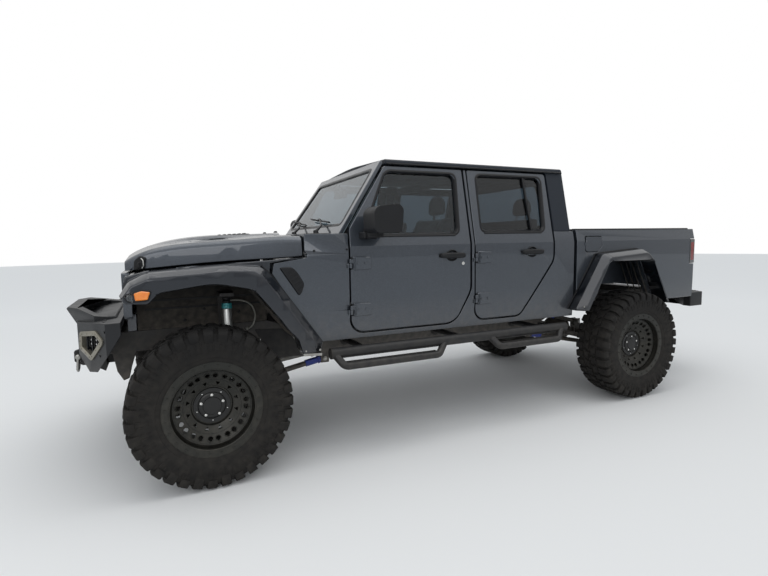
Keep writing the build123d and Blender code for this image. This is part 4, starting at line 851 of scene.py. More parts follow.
# ================================================================ front end
def build_front():
    outline = [(0.035, 0.875), (0.242, 0.9), (0.323, 0.851), (0.162, 0.724), (0.023, 0.781)]
    mid = (sum(u for u, v in outline) / 5, sum(v for u, v in outline) / 5)
    fog = [(mid[0] + 0.86 * (u - mid[0]), mid[1] + 0.86 * (v - mid[1])) for u, v in outline]
    ring, inner, pods, panes = Shape(), Shape(), Shape(), Shape()
    moulding(ring, soften(fog, 0.012, 3), nose, [(0.016, -0.001), (0.016, 0.007), (0.011, 0.01),
        (-0.008, 0.01), (-0.013, 0.006), (-0.014, -0.02), (-0.01, -0.02), (0.004, -0.001)])
    for k in range(5):
        a, b = offset(fog, 0.001)[k], offset(fog, 0.001)[(k + 1) % 5]
        for t in (0.12, 0.5, 0.88):
            spot = (a[0] + (b[0] - a[0]) * t, a[1] + (b[1] - a[1]) * t)
            ring.hexagon(nose(*spot, 0.0095), NOSE_OUT, 0.0036, 0.003)
    plate(inner, offset(fog, -0.012), nose, -0.05, -0.04)
    for along in (0.098, 0.16, 0.222):
        inner.loop_skin([[nose(along + du, z, out) for du, out in ((-0.003, -0.042), (-0.003, -0.006),
            (0.003, -0.006), (0.003, -0.042))] for z in (0.76 + abs(along - 0.16) * 0.25, 0.872)])
    for along, z in ((0.129, 0.826), (0.191, 0.829)):
        face = rect(along - 0.026, z - 0.03, along + 0.026, z + 0.03)
        plate(pods, soften(face, 0.008, 3), nose, -0.041, -0.024, 0.003)
        moulding(pods, soften(face, 0.008, 3), nose, [(0.0, -0.025), (0.0, -0.015), (-0.004, -0.013),
            (-0.006, -0.015), (-0.006, -0.025)])
        for du in (-0.011, 0.011):
            for dz in (-0.013, 0.013):
                panes.lathe(nose(along + du, z + dz, -0.0245), NOSE_OUT, [(0, 0.0085), (0.002, 0.0085),
                    (0.006, 0.004), (0.006, 0.0)], 16)
    ring.mirror().done("lamp_surrounds", "bumper_black", CHAMPAGNE)
    inner.mirror().done("lamp_pockets", "bumper_black", TRIM)
    pods.mirror().done("cube_lamps", "bumper_black", PLASTIC)
    panes.mirror().done("cube_lamp_optics", "lamp_lens", LAMP_GREY)

    shackle = Shape()
    for side in (1, -1):
        cy = side * 0.263
        shackle.tube([at(0.724, cy - 0.031, 0.7), at(0.724, cy + 0.033, 0.7)], 0.0098, 16)
        shackle.lathe(at(0.724, cy + 0.033, 0.7), (0, 1, 0), [(0, 0.016), (0.009, 0.016), (0.011, 0.013),
            (0.011, 0)], 18)
        bow = [(-0.024, 0.0), (-0.026, -0.03), (-0.03, -0.055), (-0.024, -0.08), (0, -0.094), (0.024, -0.08),
            (0.03, -0.055), (0.026, -0.03), (0.024, 0.0)]
        shackle.tube([at(0.724 + 0.1 * -dz, cy + dy, 0.7 + dz) for dy, dz in bow], 0.0085, 14)
        for dy in (-0.024, 0.024):
            shackle.lathe(at(0.724, cy + dy - 0.007, 0.7), (0, 1, 0), [(0, 0.0165), (0.014, 0.0165)], 20)
    shackle.done("bow_shackles", "bumper_black", STEEL)

    lead, gap = Shape(), Shape()
    edge = soften(rect(-0.15, 0.818, 0.15, 0.892), 0.016)
    slot = soften(rect(-0.11, 0.84, 0.11, 0.87), 0.0145)

    def on_nose(y, z, out):
        return at(0.7145 + (z - 0.855) * -0.013 + out - 0.012 * abs(y), y, z)

    moulding(lead, slot, on_nose, [(0.03, -0.004), (0.03, 0.006), (0.018, 0.01), (0.006, 0.012), (0.0, 0.008),
        (-0.002, -0.002)])
    plate(lead, edge, on_nose, -0.008, 0.004, 0.002)
    # a black plate set in the slot is painted shade, standing in for the dark depth of the opening
    plate(gap, offset(slot, -0.0005), on_nose, 0.0035, 0.0048)
    for y in (-0.127, 0.127):
        lead.hexagon(on_nose(y, 0.855, 0.004), (1, 0, 0), 0.011, 0.008)
    lead.done("hawse_fairlead", "bumper_black", CAST)
    gap.done("fairlead_slot_shade", "bumper_black", PLASTIC)

    trim = Shape()
    for x, z, y in ((0.56, 0.9605, 0.62), (0.56, 0.9605, 0.54), (0.48, 0.96, 0.66), (0.64, 0.95, 0.46)):
        trim.hexagon(at(x - 0.02, y, z - 0.0115), (0, 0, 1), 0.009, 0.006)
    for along, z in ((0.02, 0.7), (0.26, 0.76), (0.33, 0.905)):
        trim.hexagon(nose(along, z, -0.001), NOSE_OUT, 0.007, 0.005)
    trim.mirror().done("bumper_bolts", "bumper_black", TRIM)

    # grille: a mesh behind the slots, a rim round each
    mesh, rims = Shape(), Shape()
    for i in range(9):
        y = (i - 4) * 0.078
        slot = soften(rect(y - 0.022, 1.0, y + 0.022, 1.205), 0.018)
        moulding(rims, slot, on_front, [(0.006, -0.001), (0.006, 0.0015), (0.002, 0.0035), (-0.002, 0.002),
            (-0.003, -0.03), (-0.0005, -0.03)])
        for k in range(19):
            z = 1.006 + k * 0.0108
            for lean in (-1, 1):
                ends = [(y - 0.024, z - 0.007 * lean), (y + 0.024, z + 0.007 * lean)]
                mesh.tube([at(0.405, v, max(1.0, min(1.204, w))) for v, w in ends], 0.0014, 6)
    rims.done("grille_rims", "body_paint", TRIM)
    mesh.done("grille_mesh", "body_paint", PLASTIC)
    back = Shape()
    back.box(at(0.378, 0, 1.1), (0.01, 0.7, 0.235))
    for k in range(34):
        back.box(at(0.384, 0, 0.99 + k * 0.0068), (0.006, 0.69, 0.0022))
    back.done("radiator_core", "chassis_black", LINER)

    house, bowl, lens, marker, clear, bezel = (Shape() for _ in range(6))
    ax, lamp = (1, 0, 0), at(0, 0.478, 1.118)
    house.hoop(ax, [(0.3955, 0.0912), (0.437, 0.0912), (0.4385, 0.089), (0.438, 0.084), (0.43, 0.0815),
        (0.4, 0.08), (0.3955, 0.08)], 64, lamp)
    bowl.lathe(lamp, ax, [(0.396, 0.0), (0.396, 0.0798), (0.424, 0.0798), (0.4235, 0.076), (0.412, 0.06),
        (0.405, 0.03), (0.403, 0.0)], 64)
    for dy, dz, r in ((0.0, 0.026, 0.024), (0.0, -0.03, 0.021)):
        house.hoop(ax, [(0.405, r + 0.004), (0.426, r + 0.003), (0.427, r), (0.418, r - 0.003),
            (0.405, r - 0.003)], 36, at(0, 0.478 + dy, 1.118 + dz))
        lens.lathe(at(0.415, 0.478 + dy, 1.118 + dz), ax, [(0, r - 0.003), (0.003, r - 0.003),
            (0.008, r * 0.7), (0.0105, r * 0.35), (0.0112, 0)], 28)
    house.box(at(0.415, 0.478, 1.116), (0.012, 0.148, 0.01))
    for side in (-1, 1):
        house.box(at(0.417, 0.478 + side * 0.052, 1.118), (0.01, 0.014, 0.06))
    lens.lathe(lamp, ax, [(0.43, 0.0), (0.43, 0.0818), (0.4335, 0.0812), (0.4355, 0.06), (0.4365, 0.0)], 64)
    corners = [(0.392, 1.092), (0.3, 1.096), (0.285, 1.14), (0.33, 1.148), (0.412, 1.122)]

    def on_flare(x, z, out):
        return at(x, 0.9305 + out, z)

    amber = [(0.362, 1.0935), (0.3, 1.096), (0.285, 1.14), (0.33, 1.148), (0.368, 1.136)]
    front = [(0.37, 1.093), (0.392, 1.092), (0.412, 1.122), (0.374, 1.1345)]
    plate(marker, soften(offset(amber, -0.002), 0.006, 3), on_flare, 0.0, 0.0132, 0.004)
    plate(clear, soften(offset(front, -0.001), 0.005, 3), on_flare, 0.0, 0.0132, 0.004)
    moulding(bezel, soften(corners, 0.008, 3), on_flare, [(0.007, -0.001), (0.007, 0.003), (0.003, 0.006),
        (-0.001, 0.006), (-0.001, -0.001)])
    for k in range(6):
        marker.box(on_flare(0.302 + k * 0.0105, 1.1185, 0.0128), (0.0016, 0.0016, 0.034))
    house.mirror().done("head_lamp_housings", "lamp_lens", TRIM, replaces=("front_lamps",))
    bowl.mirror().done("head_lamp_reflectors", "lamp_lens", LAMP_GREY)
    lens.mirror().done("head_lamp_glass", "lamp_lens", LENS)
    marker.mirror().done("side_markers", "lamp_lens", AMBER)
    clear.mirror().done("marker_clear", "lamp_lens", LENS)
    bezel.mirror().done("marker_bezels", "lamp_lens", PLASTIC)


build_front()


# ================================================================ bonnet, cowl and screen
def build_hood_fittings():
    latch, bright, rubber = Shape(), Shape(), Shape()
    body = soften([(0.372, 1.243), (0.312, 1.248), (0.304, 1.318), (0.334, 1.328), (0.366, 1.3)], 0.012)

    def on_hood(x, z, out):
        half = 0.62 + (0.32 - x) * 0.146 if x < 0.32 else 0.62 - (x - 0.32) * 0.306
        return at(x, half + out, z)

    plate(latch, body, on_hood, -0.004, 0.014, 0.004)
    plate(latch, soften([(0.356, 1.254), (0.322, 1.256), (0.322, 1.296), (0.348, 1.29)], 0.008), on_hood,
        0.012, 0.024, 0.004)
    bright.tube([on_hood(0.328, 1.312, 0.018), on_hood(0.318, 1.3, 0.022), on_hood(0.317, 1.268, 0.022),
        on_hood(0.326, 1.254, 0.018)], 0.0034, 10)
    latch.tube([on_hood(0.34, 1.262, 0.026), on_hood(0.34, 1.288, 0.026)], 0.006, 12)
    latch.mirror().done("hood_latches", "black_plastic", PLASTIC, "hood")
    bright.mirror().done("latch_bails", "black_plastic", BRIGHT, "hood")
    for x, y in ((-0.56, 0.2), (-0.56, -0.2)):
        rubber.loop_skin([[at(x + a * k, y + b * k, 1.4625 + h) for a, b in ((-0.012, -0.016),
            (0.014, -0.012), (0.014, 0.012), (-0.012, 0.016))] for k, h in ((1.0, 0.0), (0.7, 0.01),
            (0.35, 0.012))])
    rubber.done("washer_jets", "black_plastic", PLASTIC, "hood")

    # vent slats of the bonnet's raised middle
    slats = Shape()
    for side in (1, -1):
        for k in range(6):
            x = -0.165 - k * 0.034
            slats.box(at(x, side * 0.185, 1.4565 - 0.05 * (x + 0.3)), (0.01, 0.12, 0.005), turned(-14))
        moulding(slats, soften(rect(-0.145, side * 0.115, -0.355, side * 0.255), 0.02),
            lambda x, y, out: at(x, y, 1.4545 - 0.05 * (x + 0.3) - 0.02 * abs(y) + out),
            [(0.01, -0.006), (0.01, 0.002), (0.004, 0.005), (-0.002, 0.003), (-0.002, -0.006)])
    slats.done("hood_louvres", "black_plastic", PLASTIC, "hood", smooth=30)

    cowl, arms, blades = Shape(), Shape(), Shape()
    for k in range(34):
        y = -0.66 + k * 0.04
        cowl.box(at(-0.735, y, 1.4445), (0.12, 0.006, 0.006))
    moulding(cowl, soften([(-0.66, -0.7), (-0.66, 0.7), (-0.812, 0.7), (-0.812, -0.7)], 0.02),
        lambda x, y, out: at(x, y, 1.442 + out), [(0.01, 0.0), (0.008, 0.004), (-0.006, 0.006),
        (-0.008, 0.0)])
    cowl.done("cowl_grille", "black_plastic", PLASTIC)
    for pivot, reach in ((0.46, -0.52), (-0.14, -0.5)):
        base = at(-0.79, pivot, 1.446)
        arms.lathe(base, (0.2, 0, 1), [(0, 0.02), (0.022, 0.018), (0.03, 0.012), (0.03, 0)], 20)
        tip = on_screen(pivot + reach * 0.55, 0.135, 0.024)
        knee = on_screen(pivot + reach * 0.12, 0.05, 0.04)
        arms.tube([base + Vector((0, 0, 0.02)), knee, tip], 0.006, 10, radii=[0.011, 0.008, 0.005])
        a, b = on_screen(pivot + reach * 0.02, 0.095, 0.01), on_screen(pivot + reach * 1.08, 0.15, 0.01)
        blades.loop_skin([[p + Vector((SCREEN_RUN[0] * u + SCREEN_RUN[1] * w, 0,
            SCREEN_RUN[1] * u - SCREEN_RUN[0] * w)) for u, w in ((-0.002, -0.004), (0.002, -0.004),
            (0.005, 0.004), (0.004, 0.013), (-0.005, 0.011))] for p in (a, a.lerp(b, 0.5), b)])
        blades.box(a.lerp(b, 0.5) + Vector((0.012, 0, 0.008)), (0.02, 0.05, 0.014), turned(35))
    arms.done("wiper_arms", "black_plastic", TRIM)
    blades.done("wiper_blades", "black_plastic", PLASTIC)

    seal = Shape()
    opening = soften([(-0.684, 0.072), (0.684, 0.072), (0.61, 0.555), (-0.61, 0.555)], 0.045)
    moulding(seal, opening, on_screen, [(0.006, -0.002), (0.006, 0.0015), (0.0, 0.003), (-0.014, 0.002),
        (-0.018, -0.004), (-0.018, -0.01)])
    seal.done("screen_seal", "black_plastic", TRIM)
    mirror, shine = Shape(), Shape()
    centre = on_screen(0, 0.44, -0.06)
    mirror.box(centre, (0.03, 0.23, 0.062), turned(-12))
    shine.box(centre + Vector((-0.0165, 0, 0.003)), (0.003, 0.216, 0.05), turned(-12))
    mirror.tube([centre + Vector((0.01, 0, 0.01)), on_screen(0, 0.5, -0.012)], 0.009, 10)
    mirror.done("cabin_mirror", "black_plastic", PLASTIC, bevel=0.006, steps=3)
    shine.done("cabin_mirror_glass", "black_plastic", LAMP_GREY)


build_hood_fittings()


# ================================================================ sides
PANES = {"f": [(-1.025, 1.437), (-1.772, 1.437), (-1.8, 1.872), (-1.235, 1.872)],
    "r": [(-1.985, 1.45), (-2.59, 1.45), (-2.622, 1.875), (-1.995, 1.875)]}
HINGE_SPOTS = {"f": (-0.909, (1.245, 0.935)), "r": (-1.908, (1.255, 0.945))}
HANDLE_SPOTS = {"f": (-1.705, 1.277), "r": (-2.452, 1.285)}


def side_done(shape, side, name, body, slot, material, **edges):
    """Finishes a shape modelled on the left, turned over for the right side."""
    if side < 0:
        shape.flip(shape.bm.verts[:] + shape.bm.faces[:])
    shape.done(name, slot, material, body, **edges)


def build_doors():
    for corner, (_, side) in WHEELS.items():
        which = corner[0]
        body = "door_" + corner
        pane = soften(PANES[which], 0.045, 6)
        seal = Shape()
        moulding(seal, pane, on_side, [(0.0165, -0.003), (0.0165, 0.0015), (0.012, 0.004), (0.003, 0.004),
            (0.0, 0.0), (-0.008, -0.012), (-0.01, -0.02), (0.002, -0.024)])
        side_done(seal, side, "window_seal_" + corner, body, "black_plastic", TRIM)
        belt = Shape()
        ends = (PANES[which][0], PANES[which][1])
        belt.loop_skin([[on_side(x, z - 0.02 + u, w) for u, w in ((0.0, -0.002), (0.0, 0.004),
            (0.008, 0.0065), (0.013, 0.0045), (0.013, -0.002))] for x, z in ((ends[0][0] - 0.02, ends[0][1]),
            (ends[1][0] + 0.03, ends[1][1]))])
        if which == "r":
            bar = [(-2.443, 1.873), (-2.459, 1.873), (-2.48, 1.452), (-2.464, 1.452)]
            plate(belt, bar, on_side, -0.022, -0.004, 0.002)
        side_done(belt, side, "belt_strip_" + corner, body, "black_plastic", TRIM)

        handle, dot = Shape(), Shape()
        x0, z0 = HANDLE_SPOTS[which]
        oval = [(x0 + 0.112 * cos(t) * abs(cos(t)) ** 0.15, z0 + 0.0235 * sin(t)) for t in angles(40)]
        plate(handle, oval, on_flat, -0.001, 0.006, 0.003)
        cup = [(x0 + 0.046 * cos(t), z0 + 0.0385 * sin(t)) for t in angles(36)]
        moulding(handle, cup, on_flat, [(0.004, -0.001), (0.004, 0.005), (0.0, 0.009), (-0.005, 0.006),
            (-0.012, 0.001), (-0.012, -0.001)])
        sections = []
        for dx, half, low, high in ((-0.11, 0.01, 0.0, 0.012), (-0.1, 0.0155, -0.001, 0.028),
                (-0.082, 0.0178, -0.001, 0.0415), (-0.05, 0.019, -0.001, 0.044),
                (-0.045, 0.0192, 0.021, 0.0445), (0.0, 0.02, 0.0195, 0.045), (0.045, 0.0192, 0.021, 0.0445),
                (0.05, 0.019, -0.001, 0.044), (0.082, 0.0178, -0.001, 0.0415), (0.1, 0.0155, -0.001, 0.028),
                (0.11, 0.01, 0.0, 0.012)):
            sections.append([at(x0 + dx, SKIN + o, z0 + h) for o, h in ((low, -half * 0.9),
                (high - 0.006, -half), (high, -half + 0.006), (high, half - 0.006), (high - 0.006, half),
                (low, half * 0.9))])
        handle.loop_skin(sections)
        side_done(handle, side, "handle_" + corner, body, "black_plastic", PLASTIC, smooth=40)
        if which == "f":
            dot.lathe(at(-1.802, SKIN - 0.002, 1.216), (0, 1, 0), [(0, 0.0125), (0.004, 0.0125),
                (0.006, 0.0105), (0.0062, 0.0)], 28)
            dot.box(at(-1.802, SKIN + 0.0045, 1.216), (0.0022, 0.0015, 0.01))
            side_done(dot, side, "door_lock_" + corner, body, "machined_steel", BRIGHT)

        x1, levels = HINGE_SPOTS[which]
        leaf, stop = Shape(), Shape()
        for z in levels:
            face = soften([(x1 - 0.02, z - 0.046), (x1 - 0.02, z + 0.046), (x1 - 0.14, z + 0.04),
                (x1 - 0.152, z + 0.028), (x1 - 0.152, z - 0.034), (x1 - 0.14, z - 0.043)], 0.012, 4)
            plate(leaf, face, on_side, -0.001, 0.0125, 0.003)
            for dx in (0.055, 0.11):
                leaf.hexagon(on_side(x1 - dx, z, 0.0122), (0, 1, 0), 0.0095, 0.005)
            leaf.box(on_side(x1 - 0.03, z, 0.0135), (0.004, 0.006, 0.078))
            leaf.box(on_side(x1 - 0.038, z, 0.013), (0.0025, 0.005, 0.078))
            stop.box(on_side(x1 - 0.011, z, 0.003), (0.01, 0.014, 0.082))
        side_done(leaf, side, "hinge_leaves_" + corner, body, "body_paint", PAINT)
        side_done(stop, side, "hinge_stops_" + corner, body, "black_plastic", PLASTIC, bevel=0.002)

        card, pull = Shape(), Shape()
        low, high = (0.92, 1.33) if which == "f" else (0.98, 1.33)
        ends = (-1.06, -1.8) if which == "f" else (-2.02, -2.48)
        outline = soften([(ends[0], low), (ends[1], low + 0.02), (ends[1] - 0.02, high),
            (ends[0] - 0.01, high)], 0.05)

        def inside(x, z, out):
            return at(x, SKIN - 0.082 - out, z)

        plate(card, outline, inside, 0.0006, 0.0045, 0.002)
        arm = [(ends[0] - 0.15, 1.135), (ends[1] + 0.1, 1.15), (ends[1] + 0.1, 1.195), (ends[0] - 0.15, 1.18)]
        if which == "r":
            arm = [(ends[0] - 0.06, 1.135), (ends[1] + 0.05, 1.15), (ends[1] + 0.05, 1.195),
                (ends[0] - 0.06, 1.18)]
        plate(pull, soften(arm, 0.02), inside, 0.004, 0.03, 0.012)
        lever = [(ends[0] - 0.12, 1.25), (ends[0] - 0.2, 1.252), (ends[0] - 0.2, 1.276),
            (ends[0] - 0.12, 1.274)]
        plate(pull, soften(lever, 0.01), inside, 0.004, 0.012, 0.004)
        moulding(card, soften([(ends[0] - 0.06, low + 0.04), (ends[1] + 0.1, low + 0.05),
            (ends[1] + 0.1, low + 0.16), (ends[0] - 0.06, low + 0.15)], 0.03), inside,
            [(0.006, 0.003), (0.004, 0.009), (-0.002, 0.009), (-0.004, 0.003)])
        side_done(card, side, "door_card_" + corner, body, "black_plastic", DASH)
        side_done(pull, side, "arm_rest_" + corner, body, "black_plastic", LEATHER)


def build_mirrors():
    for corner, side in (("fl", 1), ("fr", -1)):
        body = "door_" + corner
        shine, cap, amber = Shape(), Shape(), Shape()

        def behind(y, z, out):
            return at(-1.18 - (z - 1.44) * 0.08 - out, y, z)

        face = soften([(0.874, 1.456), (1.031, 1.456), (1.031, 1.6), (0.874, 1.612)], 0.03)
        plate(shine, offset(face, -0.006), behind, 0.0002, 0.0022)
        moulding(cap, face, behind, [(0.006, -0.002), (0.006, 0.002), (0.002, 0.0045), (-0.005, 0.004),
            (-0.006, 0.0003), (-0.006, -0.002)])
        outer = soften([(-1.0, 1.452), (-1.16, 1.452), (-1.172, 1.612), (-0.998, 1.592)], 0.04)
        moulding(cap, outer, lambda x, z, out: at(x, 1.0435 + out, z), [(0.003, -0.006), (0.002, 0.0008),
            (-0.002, 0.0008), (-0.004, -0.006)])
        plate(amber, soften([(-1.052, 1.412), (-1.094, 1.414), (-1.1, 1.436), (-1.048, 1.436)], 0.006),
            lambda x, z, out: at(x, 0.872 + out, z), -0.012, 0.01, 0.004)
        cap.box(at(-1.075, 0.87, 1.43), (0.085, 0.04, 0.034))
        side_done(shine, side, "mirror_glass_" + corner, body, "black_plastic", MIRROR)
        side_done(cap, side, "mirror_trim_" + corner, body, "black_plastic", PLASTIC, bevel=0.003)
        side_done(amber, side, "mirror_repeater_" + corner, body, "lamp_lens", AMBER)


def build_body_fittings():
    vent, slats, bolts, filler = Shape(), Shape(), Shape(), Shape()
    outline = soften([(-0.44, 1.236), (-0.52, 1.236), (-0.556, 1.2), (-0.598, 1.126), (-0.578, 1.07),
        (-0.56, 1.052)], 0.018, 4)
    plate(vent, outline, on_side, -0.001, 0.01, 0.004)
    for k in range(5):
        x, z = -0.505 - k * 0.014, 1.208 - k * 0.026
        slats.box(on_side(x - 0.01, z, 0.0105), (0.05, 0.004, 0.005), turned(28))
    for x, z in ((-0.893, 1.338), (-0.681, 1.332)):
        bolts.hexagon(at(x, skin_y(z) - 0.001 - (0.0515 * (x + 0.907) / 0.287 if x > -0.907 else 0), z),
            (0, 1, 0), 0.0075, 0.004)
    rings = []
    for t in (0.0, 0.5, 1.0):
        x = -0.906 + 0.284 * t
        y = 0.7985 - 0.0525 * t
        rings.append([at(x, y - 0.004, 1.3095), at(x, 0.7985, 1.3095), at(x, 0.7985, 1.3105),
            at(x, y - 0.004, 1.311 + 0.55 * (0.7985 - y))])
    filler.loop_skin(rings)
    vent.mirror().done("side_vents", "black_plastic", PLASTIC)
    slats.mirror().done("vent_slats", "black_plastic", TRIM)
    bolts.mirror().done("cowl_bolts", "black_plastic", PLASTIC)
    filler.mirror().done("cowl_fillets", "body_paint", PAINT)

    # rubber beads where the arches meet the body, their lower brackets and their bolts
    bead, brackets, heads = Shape(), Shape(), Shape()
    front = [(-0.33, 1.2515), (-0.392, 1.189), (-0.692, 0.764)]
    rear = [(0.648, 0.8), (0.358, 1.246), (0.335, 1.2535), (-0.14, 1.2855), (-0.165, 1.284), (-0.24, 1.216),
        (-0.462, 0.806)]
    for x0, line in ((0.0, front), (-WHEELBASE, rear)):
        bead.tube([at(x0 + x, skin_y(z) + 0.004, z) for x, z in line], 0.0055, 8)
    brackets.loop_skin([[at(x, y, z) for x, z in ((-0.548, 0.7), (-0.67, 0.692), (-0.668, 0.676),
        (-0.552, 0.684))] for y in (0.815, 0.905)])
    for y in (0.835, 0.885):
        heads.hexagon(at(-0.61, y, 0.68), (0, 0, -1), 0.009, 0.007)
    for x, z in ((-0.56, 0.72), (-0.65, 0.72), (-3.888, 0.83), (-2.88, 0.83)):
        heads.hexagon(at(x, 0.928 if x > -1 else 0.936, z), (0, 1, 0), 0.0055, 0.004)
    bead.mirror().done("arch_beads", "black_plastic", TRIM)
    brackets.mirror().done("arch_brackets", "bumper_black", STEEL)
    heads.mirror().done("arch_bolts", "bumper_black", STEEL)

    # roof: drip rails, their clamps and the panel seams
    rail, seam = Shape(), Shape()
    rail.loop_skin([[at(x, y, z) for y, z in ((0.668, 1.9225), (0.69, 1.9225), (0.692, 1.93), (0.684, 1.934),
        (0.668, 1.934))] for x in (-1.245, -2.85)])
    for y in (0.36, 0.5):
        rail.box(at(-1.275, y, 1.906), (0.06, 0.04, 0.018))
    seam.tube([at(-1.9, y, 1.9815 - 0.028 * (y / 0.668) ** 2) for y in (-0.64, -0.45, -0.25, 0.0, 0.25, 0.45,
        0.64)], 0.0028, 6)
    seam.tube([at(x, 0.0, 1.9822) for x in (-1.27, -1.6, -1.89)], 0.0022, 6)
    rail.mirror().done("drip_rails", "hardtop_black", TRIM, bevel=0.002)
    seam.done("roof_seams", "hardtop_black", TRIM)


build_doors()
build_mirrors()
build_body_fittings()


# ================================================================ rear end
def build_rear():
    lens, clear, case = Shape(), Shape(), Shape()
    y0, y1, z0, z1 = 0.741, 0.8025, 1.128, 1.359

    def back(y, z, out):
        return at(-4.45 - out, y, z)

    case.loop_skin([[at(x, y, z) for y, z in soften(rect(y0, z0, y1 - 0.001, z1), 0.006, 3)]
        for x in (-4.39, -4.447)])
    rim = soften(rect(y0 + 0.002, z0 + 0.002, y1 - 0.002, z1 - 0.002), 0.008, 3)
    moulding(case, rim, back, [(0.0, -0.003), (0.0, 0.003), (-0.004, 0.0045), (-0.007, 0.003),
        (-0.007, -0.003)])
    for low, high, shape in ((z0 + 0.012, z0 + 0.088, lens), (z0 + 0.094, z0 + 0.136, clear),
            (z0 + 0.142, z1 - 0.012, lens)):
        pane = soften(rect(y0 + 0.01, low, y1 - 0.01, high), 0.008, 3)
        plate(shape, pane, back, -0.002, 0.0035, 0.002)
    for k in range(12):
        lens.box(back(0.7715, z0 + 0.02 + k * 0.0058 + (0.136 if k > 5 else 0) * 0.9, 0.0036),
            (0.0012, 0.036, 0.0016))
    side_lens = soften(rect(-4.442, z0 + 0.03, -4.4, z1 - 0.03), 0.006, 3)
    plate(lens, side_lens, lambda x, z, out: at(x, 0.8012 + out, z), 0.0, 0.0015, 0.0005)
    case.mirror().done("tail_lamp_cases", "tail_red", SMOKE, replaces=("tail_lamps",))
    lens.mirror().done("tail_lamp_lenses", "tail_red", RED)
    clear.mirror().done("reverse_lamps", "tail_red", LENS)

    gate, cap = Shape(), Shape()
    frame_line = soften(rect(-0.6, 1.015, 0.6, 1.29), 0.05)
    moulding(gate, frame_line, on_back, [(0.012, -0.001), (0.006, 0.0022), (-0.006, 0.0022),
        (-0.012, -0.001)])
    bar = soften(rect(-0.112, 1.336, 0.112, 1.379), 0.012)
    plate(cap, bar, on_back, -0.016, -0.01, 0.002)
    plate(cap, soften(rect(-0.095, 1.352, 0.095, 1.374), 0.009), on_back, -0.011, -0.001, 0.003)
    cap.box(at(-4.428, 0, 1.449), (0.05, 1.4, 0.005))
    for y in (-0.5, -0.3, -0.1, 0.1, 0.3, 0.5):
        gate.box(at(-4.4, y, 1.2), (0.004, 0.05, 0.36))
    gate.done("tailgate_pressing", "body_paint", PAINT, "tailgate")
    cap.done("tailgate_handle", "black_plastic", PLASTIC, "tailgate", bevel=0.002)

    ribs, rails, rings = Shape(), Shape(), Shape()
    for k in range(15):
        y = -0.525 + k * 0.075
        ribs.loop_skin([[at(x, y + dy, 0.9895 + dz) for dy, dz in ((-0.02, 0), (-0.014, 0.009),
            (0.014, 0.009), (0.02, 0))] for x in (-4.365, -2.99)])
    for k in range(8):
        x = -3.06 - k * 0.17
        for side in (1, -1):
            low = 1.25 if -3.9 < x < -3.07 else 1.02
            ribs.box(at(x, side * 0.7235, (low + 1.41) / 2), (0.03, 0.005, 1.41 - low))
    for k in range(9):
        ribs.box(at(-2.9815, -0.56 + k * 0.14, 1.2), (0.005, 0.03, 0.36))
    for side in (1, -1):
        rails.loop_skin([[at(x, side * y, z) for y, z in ((0.722, 1.449), (0.722, 1.4605), (0.73, 1.464),
            (0.772, 1.464), (0.779, 1.46), (0.779, 1.449))] for x in (-4.374, -2.94)])
        for x in (-4.25, -3.05):
            rings.box(at(x, side * 0.7225, 1.335), (0.05, 0.006, 0.04))
            rings.tube([at(x - 0.018, side * 0.718, 1.338), at(x - 0.016, side * 0.706, 1.318),
                at(x + 0.016, side * 0.706, 1.318), at(x + 0.018, side * 0.718, 1.338)], 0.0042, 10)
        rings.box(at(-3.6, side * 0.7222, 1.385), (1.1, 0.005, 0.026))
    rails.loop_skin([[at(x, y, z) for x, z in ((-2.939, 1.449), (-2.939, 1.462), (-2.977, 1.462),
        (-2.98, 1.449))] for y in (-0.72, 0.72)])
    ribs.done("bed_ribs", "body_paint", PAINT)
    rails.done("bed_rail_caps", "black_plastic", PLASTIC, bevel=0.002)
    rings.done("cargo_rings", "black_plastic", TRIM, bevel=0.001)

    pads, plain, pin = Shape(), Shape(), Shape()
    for side in (1, -1):
        for row in range(5):
            for k in range(11):
                x, y = -4.712 + row * 0.026, side * (0.3 + k * 0.04)
                if y * side > 0.66 and row == 0:
                    continue
                pads.box(at(x, y, 0.8362), (0.018, 0.005, 0.003), turned(45 if (row + k) % 2 else -45, "Z"))
    plate(plain, soften(rect(-0.165, 0.715, 0.165, 0.82), 0.01), lambda y, z, out: at(-4.7335 - out, y, z),
        -0.001, 0.0035, 0.001)
    for y, z in ((-0.13, 0.79), (0.13, 0.79)):
        plain.hexagon(at(-4.737, y, z), (-1, 0, 0), 0.0055, 0.001)
    for z in (0.705, 0.64):
        pin.box(at(-4.7285, 0, z + (0.002 if z > 0.7 else 0.0)), (0.018, 0.104, 0.008))
    for side in (1, -1):
        pin.box(at(-4.7285, side * 0.049, 0.6725), (0.018, 0.008, 0.074))
    for side in (1, -1):
        plain.tube([at(-4.66, side * 0.085, 0.7), at(-4.655, side * 0.1, 0.672),
            at(-4.655, side * 0.14, 0.66), at(-4.66, side * 0.16, 0.685), at(-4.66, side * 0.16, 0.702)],
            0.007, 10)
        pin.box(at(-4.66, side * 0.122, 0.7015), (0.03, 0.11, 0.005))
    pads.done("bumper_tread", "bumper_black", POWDER)
    plain.done("blank_plate", "bumper_black", TRIM)
    pin.done("hitch_collar", "bumper_black", STEEL, bevel=0.001)


build_rear()


